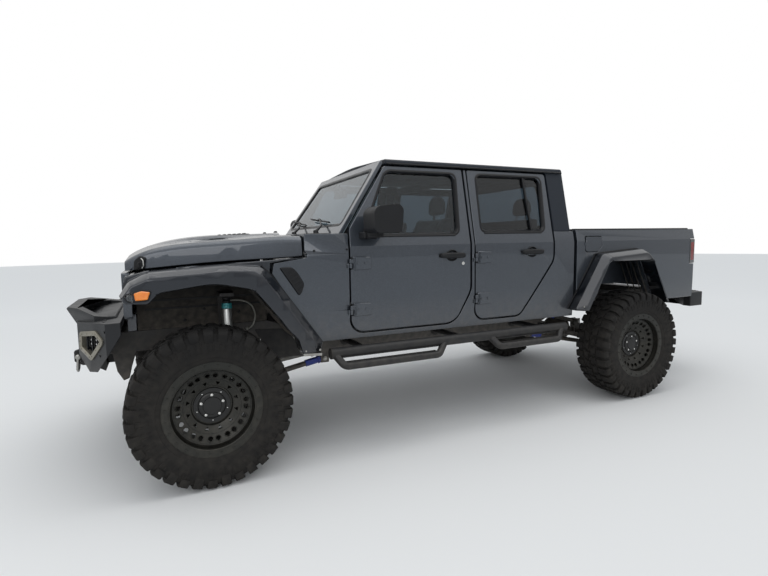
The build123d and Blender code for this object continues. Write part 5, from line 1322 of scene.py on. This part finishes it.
# ================================================================ underneath
def build_underside():
    covers, bolts = Shape(), Shape()
    for x, y, r, face in ((AXLE_F, 0.25, 0.118, 1), (AXLE_R, 0.0, 0.128, -1)):
        centre, axis = Vector((x, y, HUB_Z)), Vector((face, 0, 0))
        covers.lathe(centre, axis, [(r * 0.52, r * 0.92), (r * 0.62, r * 0.93), (r * 0.66, r * 0.9),
            (r * 0.68, r * 0.78), (r * 0.98, r * 0.58), (r * 1.06, r * 0.4), (r * 1.06, 0.0)], 40)
        for t in angles(10):
            bolts.hexagon(centre + axis * (r * 0.655) + Vector((0, cos(t), sin(t))) * r * 0.85, axis, 0.0065,
                0.006)
        covers.lathe(centre + axis * (r * 1.03) + Vector((0, 0, r * 0.1)), axis, [(0, 0.013), (0.012, 0.012),
            (0.012, 0)], 14)
    covers.done("axle_covers", "chassis_black", CAST, smooth=30)
    bolts.done("axle_cover_bolts", "machined_steel", STEEL)
    for corner, (x, side) in WHEELS.items():
        shape = Shape()
        back = -1 if corner[0] == "f" else 1
        loops = []
        for k in range(9):
            t = back * radians(90) + radians(-26 + 6.5 * k)
            grow = 0.0 if 0 < k < 8 else 0.006
            section = [(0.774 + grow, 0.112 + grow), (0.774 + grow, 0.178 - grow), (0.784, 0.186 - grow),
                (0.838, 0.186 - grow), (0.846 - grow, 0.178 - grow), (0.846 - grow, 0.112 + grow),
                (0.8235, 0.112 + grow), (0.8235, 0.17), (0.7945, 0.17), (0.7945, 0.112 + grow)]
            loops.append([Vector((x + r * sin(t), side * y, HUB_Z + r * cos(t))) for y, r in section])
        shape.loop_skin(loops)
        for t in (-0.18, 0.18):
            a = back * pi / 2 + t
            shape.lathe((x + 0.145 * sin(a), side * 0.776, HUB_Z + 0.145 * cos(a)), (0, -side, 0),
                [(0, 0.024), (0.016, 0.023), (0.02, 0.018), (0.02, 0)], 24)
        body = "knuckle_" + corner if corner[0] == "f" else "root"
        shape.done("caliper_" + corner, "machined_steel", CAST, body, smooth=30)

    joints, sleeves, wraps = Shape(), Shape(), Shape()
    arms = [((-0.06, 0.452, 0.4), (-0.84, 0.395, 0.535)), ((-0.062, 0.388, 0.545), (-0.56, 0.33, 0.69)),
        ((-3.426, 0.46, 0.4), (-2.76, 0.395, 0.535)), ((-3.448, 0.3, 0.575), (-3.01, 0.33, 0.69))]
    for start, end in arms:
        a, b = at(*start), at(*end)
        run = (b - a).normalized()
        span = (b - a).length
        sleeves.lathe(a, run, [(span - 0.15, 0.0195), (span - 0.146, 0.0245), (span - 0.06, 0.0245),
            (span - 0.052, 0.021)], 6)
        sleeves.lathe(a, run, [(span - 0.052, 0.03), (span - 0.036, 0.03), (span - 0.03, 0.024)], 6)
        for p in (a, b):
            joints.lathe(p - Vector((0, 0.024, 0)), (0, 1, 0), [(0, 0.02), (0.0475, 0.02)], 24)
            joints.hoop((0, 1, 0), rect(-0.0235, 0.0285, 0.0235, 0.03), 32, p)
            joints.hexagon(p + Vector((0, 0.033, 0)), (0, 1, 0), 0.013, 0.01)
            joints.hexagon(p - Vector((0, 0.033, 0)), (0, -1, 0), 0.013, 0.01)
    joints.mirror().done("arm_joints", "machined_steel", STEEL)
    sleeves.mirror().done("arm_adjusters", "chassis_black", BLUE)

    shaft = Shape()
    for start, end, r in ((at(0, 0.25, HUB_Z), at(-1.44, 0.225, 0.64), 0.026), (at(-WHEELBASE, 0, HUB_Z),
            at(-1.77, 0, 0.68), 0.036)):
        run = (end - start).normalized()
        span = (end - start).length
        for base, way in ((start + run * 0.165, run), (end - run * 0.006, -run)):
            shaft.lathe(base, way, [(0, r + 0.026), (0.01, r + 0.026), (0.012, r + 0.01), (0.03, r + 0.012),
                (0.062, r + 0.012), (0.08, r + 0.002)], 32)
            for k in range(4):
                out = Matrix.Rotation(k * pi / 2, 3, run) @ run.orthogonal().normalized()
                shaft.lathe(base + way * 0.046 + out * (r - 0.002), out, [(0, 0.014), (0.016, 0.014),
                    (0.018, 0.011), (0.018, 0)], 18)
        shaft.lathe(start, run, [(span * 0.52, r + 0.0006), (span * 0.525, r + 0.007),
            (span * 0.6, r + 0.007), (span * 0.605, r + 0.0006)], 32)
    shaft.done("shaft_joints", "gearbox_case", CAST, smooth=30)

    for x, z in ((-1.1, 0.65), (-2.1, 0.65), (-3.0, 0.65)):
        wraps.lathe(at(x, -0.225, z), (1, 0, 0), [(0, 0.0325), (0.004, 0.0335), (0.034, 0.0335),
            (0.038, 0.0325)], 28)
        wraps.box(at(x + 0.019, -0.225, z + 0.055), (0.024, 0.008, 0.06))
    wraps.lathe(at(-4.62, -0.56, 0.665), (-1, 0, 0), [(0, 0.0305), (0.0, 0.0335), (0.028, 0.0345),
        (0.03, 0.0335)], 32)
    wraps.lathe(at(-4.64, -0.56, 0.665), (-1, 0, 0), [(0.0012, 0.0255), (0.0108, 0.0255)], 28)
    for x in (-4.035, -4.285):
        wraps.box(at(x, -0.135, 0.69), (0.006, 0.394, 0.112))
    wraps.done("exhaust_clamps", "exhaust_steel", EXHAUST, bevel=0.001)

    ends, band, arch = Shape(), Shape(), Shape()
    route = [(-0.155, 0.515, 1.018), (-0.185, 0.51, 1.02), (-0.25, 0.498, 1.016), (-0.315, 0.49, 0.985),
        (-0.342, 0.482, 0.915), (-0.33, 0.474, 0.85), (-0.308, 0.464, 0.818), (-0.292, 0.448, 0.812),
        (-0.288, 0.4325, 0.812)]
    skirt = soften([(-0.335, 0.8), (-0.425, 0.64), (-0.49, 0.585), (-0.7, 0.578), (-0.705, 0.7),
        (-0.6, 0.78)], 0.02)
    for side, tag in ((1, "left"), (-1, "right")):
        curve = bpy.data.curves.new("damper_hose_" + tag, "CURVE")
        curve.dimensions = "3D"
        curve.bevel_depth = HOSE_R
        curve.bevel_resolution = 3
        curve.use_fill_caps = True
        spline = curve.splines.new("NURBS")
        spline.points.add(len(route) - 1)
        for point, (x, y, z) in zip(spline.points, route):
            point.co = (*at(x, side * y, z), 1.0)
        spline.order_u = 3
        spline.use_endpoint_u = True
        spline.resolution_u = 10
        curve.materials.append(HOSE)
        line = add_object("damper_hose_" + tag, curve)
        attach(line, "root")
        ends.lathe(at(-0.29, side * INNER_WING, 0.812), (0, side, 0), [(0, 0.011), (0.012, 0.01),
            (0.016, 0.007)], 14)
        ends.lathe(at(-0.13, side * 0.515, 1.018), (-1, 0, 0), [(0, 0.009), (0.022, 0.009), (0.026, 0.007),
            (0.026, 0)], 14)
        for x, z in ((-0.02, 0.965), (-0.24, 0.93), (0.1, 0.9), (-0.445, 0.735), (-0.56, 0.72)):
            band.hexagon(at(x, side * INNER_WING, z), (0, side, 0), 0.008, 0.007)
        plate(band, skirt, lambda x, z, out: at(x, side * (INNER_WING + out), z), 0.0, 0.004, 0.001)
    for x0, x1, z in ((-0.58, 0.35, 1.04), (-0.56, 0.33, 0.985)):
        for y in (0.4315, -0.4315):
            band.box(at((x0 + x1) / 2, y, z), (x1 - x0, 0.004, 0.012))
    ends.done("hose_ends", "damper_silver", STEEL, smooth=30)
    band.done("inner_wing_ribs", "black_plastic", PLASTIC)

    for y in (0.64, 0.7, 0.76):
        arch.tube([at(x, y, z) for x, z in ((-0.512, 0.799), (-0.268, 1.111), (-0.04, 1.157),
            (0.235, 1.121))], 0.0045, 8)
    ribs = [(0.52, 0.796), (0.318, 1.184), (-0.19, 1.184), (-0.388, 0.796)]
    for y in (0.6, 0.66, 0.72, 0.775):
        arch.tube([at(0.985 * x - WHEELBASE, y, z) for x, z in ribs], 0.005, 8)
    for x, z in ((0.2, 1.196), (0.02, 1.196), (-0.12, 1.196)):
        arch.box(at(x - WHEELBASE, 0.69, z), (0.03, 0.18, 0.01))
    arch.mirror().done("arch_ribs", "black_plastic", LINER)

    treads, brackets = Shape(), Shape()
    for x0, x1 in ((-0.76, -1.6), (-1.985, -2.7)):
        low, high = x1 + 0.108, x0 - 0.068
        count = int((high - low) / 0.036)
        for k in range(count):
            x = low + (k + 0.5) * (high - low) / count
            for row in range(3):
                treads.lathe(at(x, 0.906 + row * 0.016, 0.6185), (0, 0, 1), [(0, 0.0055), (0.0025, 0.0045),
                    (0.0025, 0.0)], 8)
        for x in (low + 0.02, high - 0.02):
            brackets.hexagon(at(x, 0.922, 0.6188), (0, 0, 1), 0.0075, 0.004)
    for x in (-1.0, -1.78, -2.56):
        brackets.hoop((0, 1, 0), [(0.425, 0.0225), (0.425, 0.044), (0.4325, 0.044), (0.4325, 0.0225)], 28,
            at(x, 0, 0.664))
        for k in range(4):
            t = pi / 4 + k * pi / 2
            brackets.hexagon(at(x + 0.034 * cos(t), 0.4325, 0.664 + 0.034 * sin(t)), (0, 1, 0), 0.005, 0.005)
    for x in (-0.735, -2.74):
        brackets.lathe(at(x, 0.87, 0.672), (1 if x > -1 else -1, 0, 0), [(-0.012, 0.0365), (0.0, 0.0365),
            (0.004, 0.031), (0.004, 0)], 32)
    treads.mirror().done("step_studs", "bumper_black", POWDER)
    brackets.mirror().done("step_brackets", "bumper_black", PLASTIC)


def build_engine_bay():
    """Covers, tanks and pipes on and round the engine."""
    top, side_y = 1.18, 0.33
    over = lambda x, y, out: Vector((x, y, top + out))
    cover, black, metal, pale, pipes = Shape(), Shape(), Shape(), Shape(), Shape()
    plate(cover, soften([(1.5, -0.155), (2.11, -0.13), (2.11, 0.13), (1.5, 0.155)], 0.04), over, -0.002,
        0.034, 0.012)
    for y in (-0.09, -0.045, 0.0, 0.045, 0.09):
        cover.box((1.8, y, top + 0.036), (0.44, 0.014, 0.008))
    for y in (-0.19, 0.19):
        plate(metal, soften(rect(1.46, y - 0.03, 2.12, y + 0.03), 0.014), over, -0.002, 0.022, 0.006)
        for k in range(6):
            metal.hexagon((1.5 + k * 0.116, y, top + 0.022), (0, 0, 1), 0.007, 0.006)
    for k in range(5):
        cover.box((1.45 + 0.16 * k, 0.0, top - 0.075), (0.012, 0.476, 0.12))
    black.lathe((2.05, 0.06, top + 0.032), (0, 0, 1), [(0, 0.03), (0.012, 0.032), (0.016, 0.027), (0.017, 0)],
        12)
    for side in (-1, 1):
        for x in (1.52, 1.76, 2.0):
            pipes.tube([(x, side * 0.226, 1.06), (x, side * 0.262, 1.055), (x - 0.01, side * 0.28, 1.02),
                (x - 0.05, side * 0.28, 0.93), (x - 0.08, side * 0.272, 0.85)], 0.02, 14)
            pipes.box((x, side * 0.2335, 1.06), (0.085, 0.008, 0.07))
    for x, y, long, wide, tall, z, shape in ((1.88, side_y, 0.3, 0.15, 0.17, 1.055, black),
            (1.5, -side_y, 0.26, 0.16, 0.18, 1.06, black), (1.86, -side_y, 0.2, 0.14, 0.14, 1.05, pale),
            (1.56, side_y, 0.18, 0.12, 0.11, 1.08, pale)):
        put = lambda u, v, out, z=z: Vector((u, v, z + out))
        half, across = long / 2, wide / 2
        corners = soften(rect(x - half, y - across, x + half, y + across), 0.018)
        plate(shape, corners, put, -tall / 2, tall / 2 - 0.022, 0.006)
        grown = soften(rect(x - half - 0.004, y - across - 0.004, x + half + 0.004, y + across + 0.004), 0.02)
        plate(shape, grown, put, tall / 2 - 0.022, tall / 2, 0.006)
        for dx in (-0.3, 0.3):
            metal.box((x + dx * long, y + (across + 0.006) * (-1 if y > 0 else 1), z + tall / 2 - 0.022),
                (0.018, 0.004, 0.034))
    for x, y, z, r in ((1.43, -side_y, 1.15, 0.01), (1.57, -side_y, 1.15, 0.01)):
        metal.lathe((x, y, z), (0, 0, 1), [(0, r), (0.016, r * 0.9), (0.016, 0)], 16)
    for x, y, z in ((1.86, -side_y, 1.12), (1.56, side_y, 1.135)):
        black.lathe((x, y, z), (0, 0, 1), [(0, 0.026), (0.016, 0.026), (0.019, 0.022), (0.019, 0)], 20)
    black.tube([(1.99, side_y, 1.11), (2.08, 0.325, 1.13), (2.16, 0.28, 1.15), (2.205, 0.19, 1.16),
        (2.19, 0.09, 1.17), (2.12, 0.04, 1.18)], 0.034, 20)
    for k in range(9):
        t = 0.3 + 0.045 * k
        black.hoop((0.5, -0.86, 0.1), [(-0.004, 0.033), (-0.003, 0.0375), (0.003, 0.0375), (0.004, 0.033)],
            24, Vector((2.08, 0.325, 1.13)).lerp(Vector((2.205, 0.19, 1.16)), t))
    black.tube([(2.3, -0.25, 1.15), (2.24, -0.23, 1.165), (2.18, -0.15, 1.16), (2.14, -0.1, 1.14)], 0.019, 16)
    black.tube([(1.5, -0.245, 1.145), (1.56, -0.215, 1.205), (1.68, -0.17, 1.218), (1.8, -0.168, 1.216)],
        0.008, 10)
    black.tube([(1.17, 0.12, 1.15), (1.28, 0.13, 1.18), (1.4, 0.12, 1.19), (1.5, 0.1, 1.18)], 0.012, 12)
    black.tube([(1.17, 0.06, 1.12), (1.3, 0.06, 1.16), (1.42, 0.05, 1.17), (1.5, 0.04, 1.17)], 0.012, 12)
    black.hoop((1, 0, 0), [(-0.02, 0.205), (-0.02, 0.222), (0.03, 0.235), (0.03, 0.205)], 48,
        (2.245, 0, 0.985))
    for t in angles(9):
        black.box((2.24, 0.115 * sin(t), 0.985 + 0.115 * cos(t)), (0.01, 0.055, 0.15),
            Matrix.Rotation(-t, 3, "X") @ Matrix.Rotation(0.5, 3, "Z"))
    black.lathe((2.215, 0, 0.985), (1, 0, 0), [(0, 0), (0, 0.045), (0.04, 0.05), (0.045, 0.04), (0.045, 0)],
        28)
    cover.done("engine_cover", "engine_block", PLASTIC, bevel=0.002)
    metal.done("engine_covers_cast", "engine_block", CAST, bevel=0.0015)
    pipes.done("exhaust_manifolds", "engine_block", EXHAUST, smooth=40)
    black.done("bay_boxes", "black_plastic", PLASTIC, smooth=40)
    pale.done("bay_tanks", "black_plastic", TANK, smooth=40)


build_engine_bay()
build_underside()


# ================================================================ cabin
PRESSURE, FRAMES = 4.0, 20            # of the cloth that swells a pad


def swell(shape, name, voxel, cap, channels=(), rise=0.006):
    """Blows a closed form up as cloth, each point's move held under a cap, then presses channels in."""
    ob = add_object(name, shape.to_mesh(name))
    grid = ob.modifiers.new("grid", "REMESH")
    grid.mode = "VOXEL"
    grid.voxel_size = voxel
    made = bpy.data.meshes.new_from_object(ob.evaluated_get(bpy.context.evaluated_depsgraph_get()))
    ob.modifiers.clear()
    ob.data = made
    cloth = ob.modifiers.new("cloth", "CLOTH")
    cloth.settings.use_pressure = True
    cloth.settings.uniform_pressure_force = PRESSURE
    cloth.settings.effector_weights.gravity = 0.0
    scene = bpy.context.scene
    for frame_number in range(1, FRAMES + 1):
        scene.frame_set(frame_number)
    puffed = ob.evaluated_get(bpy.context.evaluated_depsgraph_get()).to_mesh()
    moved = [v.co.copy() for v in puffed.vertices]
    ob.modifiers.clear()
    scene.frame_set(1)
    for v, b in zip(made.vertices, moved):
        step = b - v.co
        v.co += step * min(1.0, cap / max(step.length, 1e-9))
    for axis, place, width, where in channels:
        for v in made.vertices:
            gap = abs(v.co[axis] - place)
            if gap < 3 * width and where(v.co):
                v.co -= v.normal * rise * 2.718 ** (-(gap / width) ** 2)
    made.update()
    done = made.copy()
    bpy.data.objects.remove(ob)
    return done


def set_pad(mesh, name, slot, material, matrix=None, replaces=()):
    """A copy of a swelled form as a padded piece."""
    copy = mesh.copy()
    if matrix:
        copy.transform(matrix)
        if matrix.determinant() < 0:
            copy.flip_normals()
    ob = dress(copy, name, "root", slot, material, smooth=180.0, replaces=replaces, fine=1)


def build_seats():
    flip = Matrix.Scale(-1, 4, (0, 1, 0))
    front_x, rear_x, mid = -1.745, -2.6, 0.385
    bases, rails = Shape(), Shape()

    def bolster(x, y0, y1, channel_y, voxel):
        cushion, back = Shape(), Shape()
        cushion.prism([(x + AXLE_F + u, FLOOR + w) for u, w in ((0.012, 0.125), (0.462, 0.125), (0.505, 0.15),
            (0.508, 0.272), (0.48, 0.288), (0.29, 0.27), (0.075, 0.262), (0.02, 0.24))], y0 + 0.01, y1 - 0.01)
        back.prism([(x + AXLE_F + u, FLOOR + w) for u, w in ((0.0, 0.205), (0.108, 0.285), (0.098, 0.4),
            (0.04, 0.6), (-0.024, 0.722), (-0.06, 0.728), (-0.102, 0.715), (-0.08, 0.56), (-0.03, 0.3))],
            y0 + 0.01, y1 - 0.01)
        top = lambda co: co.z > FLOOR + 0.2
        fore = lambda co: co.x > x + AXLE_F
        seat_lines = [(1, y, 0.01, top) for y in channel_y] + [(0, x + AXLE_F + 0.34, 0.01, top)]
        back_lines = [(1, y, 0.01, fore) for y in channel_y] + [(2, FLOOR + 0.6, 0.01, fore),
            (2, FLOOR + 0.44, 0.01, fore)]
        return swell(cushion, "cushion", voxel, 0.009, seat_lines), swell(back, "squab", voxel, 0.009,
            back_lines)

    cushion, squab = bolster(front_x, mid - 0.245, mid + 0.245, (mid - 0.155, mid + 0.155), 0.013)
    for name, matrix in (("left", None), ("right", flip)):
        set_pad(cushion, "front_cushion_" + name, "seat_cloth", CLOTH, matrix, replaces=("seats",))
        set_pad(squab, "front_squab_" + name, "seat_cloth", CLOTH, matrix)
    cushion, squab = bolster(rear_x, -0.61, 0.61, (-0.46, -0.34, -0.12, 0.12, 0.34, 0.46), 0.018)
    set_pad(cushion, "rear_cushion", "seat_cloth", CLOTH)
    set_pad(squab, "rear_squab", "seat_cloth", CLOTH)

    rest = Shape()
    levels = ((0.058, 0.092, 0.022), (0.066, 0.108, 0.034), (0.09, 0.115, 0.038), (0.14, 0.108, 0.037),
        (0.18, 0.088, 0.033), (0.2, 0.06, 0.024), (0.205, 0.036, 0.014))
    rest.loop_skin([[Vector((-0.08 - (z - 0.058) * 0.03 + deep * cos(t), wide * sin(t), z))
        for t in angles(28)] for z, wide, deep in levels])
    pad = swell(rest, "head_pad", 0.008, 0.006)
    posts = Shape()
    for tag, x, y in (("front_left", front_x, mid), ("front_right", front_x, -mid),
            ("rear_left", rear_x, 0.4), ("rear_right", rear_x, -0.4)):
        set_pad(pad, "head_rest_" + tag, "seat_cloth", CLOTH, Matrix.Translation(at(x, y, 1.53)))
        for dy in (-0.06, 0.06):
            posts.tube([at(x - 0.07, y + dy, 1.545), at(x - 0.082, y + dy, 1.61)], 0.0065, 12)
    for y in (mid, -mid):
        bases.prism([(front_x + AXLE_F + u, FLOOR + w) for u, w in ((0.01, 0.045), (0.45, 0.045),
            (0.48, 0.14), (0.02, 0.14))], y - 0.225, y + 0.225)
        for dy in (-0.18, 0.18):
            rails.box(at(front_x + 0.235, y + dy, FLOOR + 0.022), (0.44, 0.036, 0.044))
        bases.box(at(front_x + 0.2, y + (0.2395 if y > 0 else -0.2395), FLOOR + 0.15), (0.18, 0.01, 0.036))
    bases.prism([(rear_x + AXLE_F + u, FLOOR + w) for u, w in ((0.004, 0.002), (0.44, 0.002), (0.47, 0.14),
        (0.01, 0.14))], -0.6, 0.6)
    for y in (0.105, -0.105, 0.3, -0.3):
        rails.box(at(rear_x + 0.085, y, FLOOR + 0.285), (0.03, 0.026, 0.07))
    bases.done("seat_bases", "seat_cloth", PLASTIC, bevel=0.006)
    rails.done("seat_rails", "machined_steel", TRIM, bevel=0.002)
    posts.done("head_rest_posts", "machined_steel", BRIGHT)


def build_bar_pads():
    """Padding on the roof rails and hoop, laced under the tube."""
    form = Shape()
    form.lathe((0, 0, 0), (1, 0, 0), [(-0.205, 0.03), (-0.195, 0.0345), (-0.1, 0.035), (0.0, 0.035),
        (0.1, 0.035), (0.195, 0.0345), (0.205, 0.03)], 28)
    everywhere = lambda co: True
    pad = swell(form, "bar_pad", 0.01, 0.006, [(0, k, 0.008, everywhere) for k in (-0.13, 0.0, 0.13)], 0.004)
    spots = [("hoop_left", at(-1.933, 0.235, 1.862), 90), ("hoop_right", at(-1.933, -0.235, 1.862), 90)]
    for side, tag in ((1, "left"), (-1, "right")):
        spots += [("front_" + tag, at(-1.6, side * 0.515, 1.862), 0),
            ("rear_" + tag, at(-2.36, side * 0.515, 1.862), 0)]
    for name, where, turn in spots:
        set_pad(pad, "bar_pad_" + name, "bar_cover", LEATHER,
            Matrix.Translation(where) @ Matrix.Rotation(radians(turn), 4, "Z"))


def build_dash():
    face, dark, bright, screen = Shape(), Shape(), Shape(), Shape()

    def on_dash(y, z, out):
        return at(-1.1115 - (z - 1.19) * 0.059 - out, y, z)

    for y in (-0.555, -0.12, 0.12, 0.575):
        for k, r in enumerate((0.046, 0.04)):
            dark.hoop((-1, 0, 0), [(-0.004, r), (0.012 - 0.003 * k, r), (0.014 - 0.003 * k, r - 0.003),
                (0.004, r - 0.006), (-0.004, r - 0.006)], 36, on_dash(y, 1.3, 0.0))
        for k in range(5):
            h = 0.033 * cos(1.1 * (k - 2) / 2.2)
            dark.box(on_dash(y, 1.3 + (k - 2) * 0.014, 0.004), (0.008, 2 * h, 0.003), turned(-20))
    plate(screen, soften(rect(-0.105, 1.225, 0.105, 1.25), 0.006), on_dash, 0.001, 0.005, 0.001)
    plate(screen, soften(rect(-0.08, 1.258, 0.08, 1.345), 0.008), on_dash, 0.001, 0.012, 0.002)
    moulding(dark, soften(rect(-0.084, 1.254, 0.084, 1.349), 0.01), on_dash, [(0.006, -0.001), (0.006, 0.012),
        (0.002, 0.015), (0.0, 0.01), (0.0, -0.001)])
    for y in (-0.07, 0.0, 0.07):
        bright.lathe(on_dash(y, 1.205, 0.0), (-1, 0, 0), [(0, 0.02), (0.014, 0.018), (0.016, 0.016),
            (0.016, 0)], 28)
    for k in range(7):
        dark.box(on_dash(-0.072 + k * 0.024, 1.175, 0.004), (0.008, 0.018, 0.012))
    hood = soften(rect(0.245, 1.25, 0.525, 1.385), 0.045)
    moulding(face, hood, on_dash, [(0.012, -0.004), (0.01, 0.03), (0.004, 0.034), (-0.002, 0.028),
        (-0.004, 0.004), (-0.004, -0.004)])
    for y in (0.32, 0.45):
        bright.hoop((-1, 0, 0), [(0.002, 0.047), (0.012, 0.047), (0.013, 0.044), (0.004, 0.042),
            (0.002, 0.042)], 40, on_dash(y, 1.318, 0.0))
        plate(screen, [(y + 0.041 * cos(t), 1.318 + 0.041 * sin(t)) for t in angles(36)], on_dash, 0.001,
            0.0035)
        bright.box(on_dash(y + 0.012, 1.326, 0.005), (0.002, 0.034, 0.0025), turned(35, "X"))
        for k in range(9):
            t = radians(-40 + k * 32.5)
            bright.box(on_dash(y + 0.036 * cos(t), 1.318 + 0.036 * sin(t), 0.0045), (0.0012, 0.005, 0.0014),
                Matrix.Rotation(t, 3, "X"))
    plate(face, soften(rect(-0.61, 1.195, -0.19, 1.245), 0.012), on_dash, -0.001, 0.01, 0.004)
    face.tube([on_dash(-0.56, 1.372, 0.0), on_dash(-0.55, 1.372, 0.034), on_dash(-0.52, 1.372, 0.042),
        on_dash(-0.28, 1.372, 0.042), on_dash(-0.25, 1.372, 0.034), on_dash(-0.24, 1.372, 0.0)], 0.012, 14)
    face.prism([(-1.095 + AXLE_F, 1.425), (-1.02 + AXLE_F, 1.426), (-1.02 + AXLE_F, 1.431),
        (-1.09 + AXLE_F, 1.43)], -0.6, 0.6)
    face.done("dash_trim", "dash_plastic", DASH, bevel=0.002)
    dark.done("dash_vents", "dash_plastic", TRIM)
    bright.done("dash_dials", "dash_plastic", LAMP_GREY)
    screen.done("dash_screens", "dash_plastic", SMOKE)

    gear, knob = Shape(), Shape()
    for x, y, tall in ((-1.33, 0.02, 0.2), (-1.345, -0.06, 0.13)):
        gear.tube([at(x, y, 1.0), at(x - 0.01, y, 1.0 + tall * 0.6), at(x - 0.025, y, 1.0 + tall)], 0.007, 12)
        knob.lathe(at(x - 0.026, y, 1.0 + tall - 0.008), (-0.1, 0, 1), [(0, 0.014), (0.012, 0.022),
            (0.03, 0.024), (0.044, 0.018), (0.049, 0.008), (0.05, 0)], 24)
        knob.lathe(at(x, y, 0.9995), (0, 0, 1), [(0, 0.048), (0.01, 0.044), (0.016, 0.034), (0.028, 0.032),
            (0.034, 0.022), (0.048, 0.019), (0.054, 0.011)], 24)
    gear.tube([at(-1.43, -0.06, 1.012), at(-1.52, -0.06, 1.026), at(-1.56, -0.06, 1.05),
        at(-1.64, -0.06, 1.058)], 0.0125, 14)
    for x in (-1.455, -1.545):
        knob.hoop((0, 0, 1), [(-0.001, 0.036), (-0.001, 0.042), (0.006, 0.042), (0.008, 0.039),
            (0.006, 0.036)], 32, at(x, 0.045, 1.0))
    knob.box(at(-1.655, 0.0, 1.0105), (0.085, 0.196, 0.021))
    gear.done("levers", "dash_plastic", BRIGHT)
    knob.done("lever_knobs", "dash_plastic", LEATHER, bevel=0.001)

    feet = Shape()
    for y, wide, z in ((0.3, 0.05, 0.96), (0.385, 0.085, 0.985), (0.48, 0.06, 0.985)):
        feet.box(at(-1.01, y, z), (0.012, wide, 0.075), turned(-28))
        feet.tube([at(-1.004, y, z + 0.02), at(-0.955, y, z + 0.12), at(-0.925, y, z + 0.17)], 0.007, 10)
        for k in range(4):
            feet.box(at(-1.0175, y, z - 0.024 + k * 0.016), (0.004, wide * 0.85, 0.005), turned(-28))
    feet.done("pedals", "dash_plastic", PLASTIC, bevel=0.001)


def build_wheel_rim():
    """Leather seams, hub pad and switches of the steering wheel."""
    tilt = radians(25.0)
    along = Vector((-cos(tilt), 0, sin(tilt)))
    across = Vector((0, 1, 0))
    up = along.cross(across)
    place = Matrix((across, up, along)).transposed().to_4x4()
    place.translation = at(-1.215, 0.385, 1.33)
    pad, seam, keys = Shape(), Shape(), Shape()
    pad.lathe((0, 0, -0.016), (0, 0, 1), [(0, 0.064), (0.022, 0.066), (0.03, 0.06), (0.034, 0.046),
        (0.035, 0.03), (0.035, 0)], 40)
    pad.ring((0, 0, 0.0192), (0, 0, 1), 0.034, 0.0018, 36, 6)
    for a in (-0.4, 0.4, pi - 0.4, pi + 0.4, 1.5 * pi - 0.25, 1.5 * pi + 0.25):
        centre = Vector((0.178 * cos(a), 0.178 * sin(a), 0))
        seam.ring(centre, (-sin(a), cos(a), 0), 0.0152, 0.001, 20, 6)
    for a in angles(96):
        seam.box((0.163 * cos(a), 0.163 * sin(a), 0.0), (0.0015, 0.0035, 0.0012), Matrix.Rotation(a + 0.5, 3,
            "Z"))
    for a in (0.0, pi):
        keys.box((0.105 * cos(a), 0.0, 0.0045), (0.05, 0.024, 0.006))
        for dx in (-0.016, 0.0, 0.016):
            keys.box((0.105 * cos(a) + dx, 0.0, 0.0085), (0.011, 0.014, 0.003))
    for shape, name, material in ((pad, "wheel_pad", DASH), (seam, "wheel_stitching", TRIM),
            (keys, "wheel_switches", SILVER)):
        for v in shape.bm.verts:
            v.co = place @ v.co
        shape.done(name, "dash_plastic", material, "steering_wheel")


build_seats()
build_bar_pads()
build_dash()
build_wheel_rim()


def build_liner_edges():
    """Pale strips along the turned edges of the front wheel liners, a painted highlight on the black plastic,
    with their clips.
    """
    edge, clips = Shape(), Shape()
    for side in (1, -1):
        line = [(-0.352, 1.06), (-0.4, 1.03), (-0.47, 0.925), (-0.56, 0.77), (-0.585, 0.722)]
        width = [0.01, 0.03, 0.034, 0.03, 0.012]
        loops = []
        for (x, z), w in zip(line, width):
            loops.append([at(x + w * 0.5, side * 0.606, z + w * 0.2), at(x + w * 0.5, side * 0.612,
                z + w * 0.2), at(x - w * 0.5, side * 0.612, z - w * 0.2), at(x - w * 0.5, side * 0.606,
                z - w * 0.2)])
        edge.loop_skin(loops)
        for k in (1, 2, 3):
            clips.lathe(at(line[k][0], side * 0.611, line[k][1]), (0, side, 0), [(0, 0.008), (0.003, 0.008),
                (0.004, 0.005), (0.004, 0)], 14)
    # the pale strips are a painted highlight: the liners themselves are black plastic
    edge.done("liner_edge_highlights", "black_plastic", HOSE, smooth=40)
    clips.done("liner_clips", "black_plastic", PLASTIC)


build_liner_edges()


def seal_pillars():
    """Rubber between the windscreen frame and the front doors."""
    seal = Shape()
    run = [(-0.9, 1.43), (-0.985, 1.55), (-1.1, 1.716), (-1.243, 1.92)]
    for (x0, z0), (x1, z1) in zip(run, run[1:]):
        quad = [(x0 + 0.012, z0), (x0 - 0.04, z0), (x1 - 0.04, z1), (x1 + 0.012, z1)]
        seal.loop_skin([[on_side(x, z, -depth) for x, z in quad] for depth in (0.062, 0.054)])
    seal.mirror().done("pillar_seals", "black_plastic", RUBBER, weld=True)


seal_pillars()
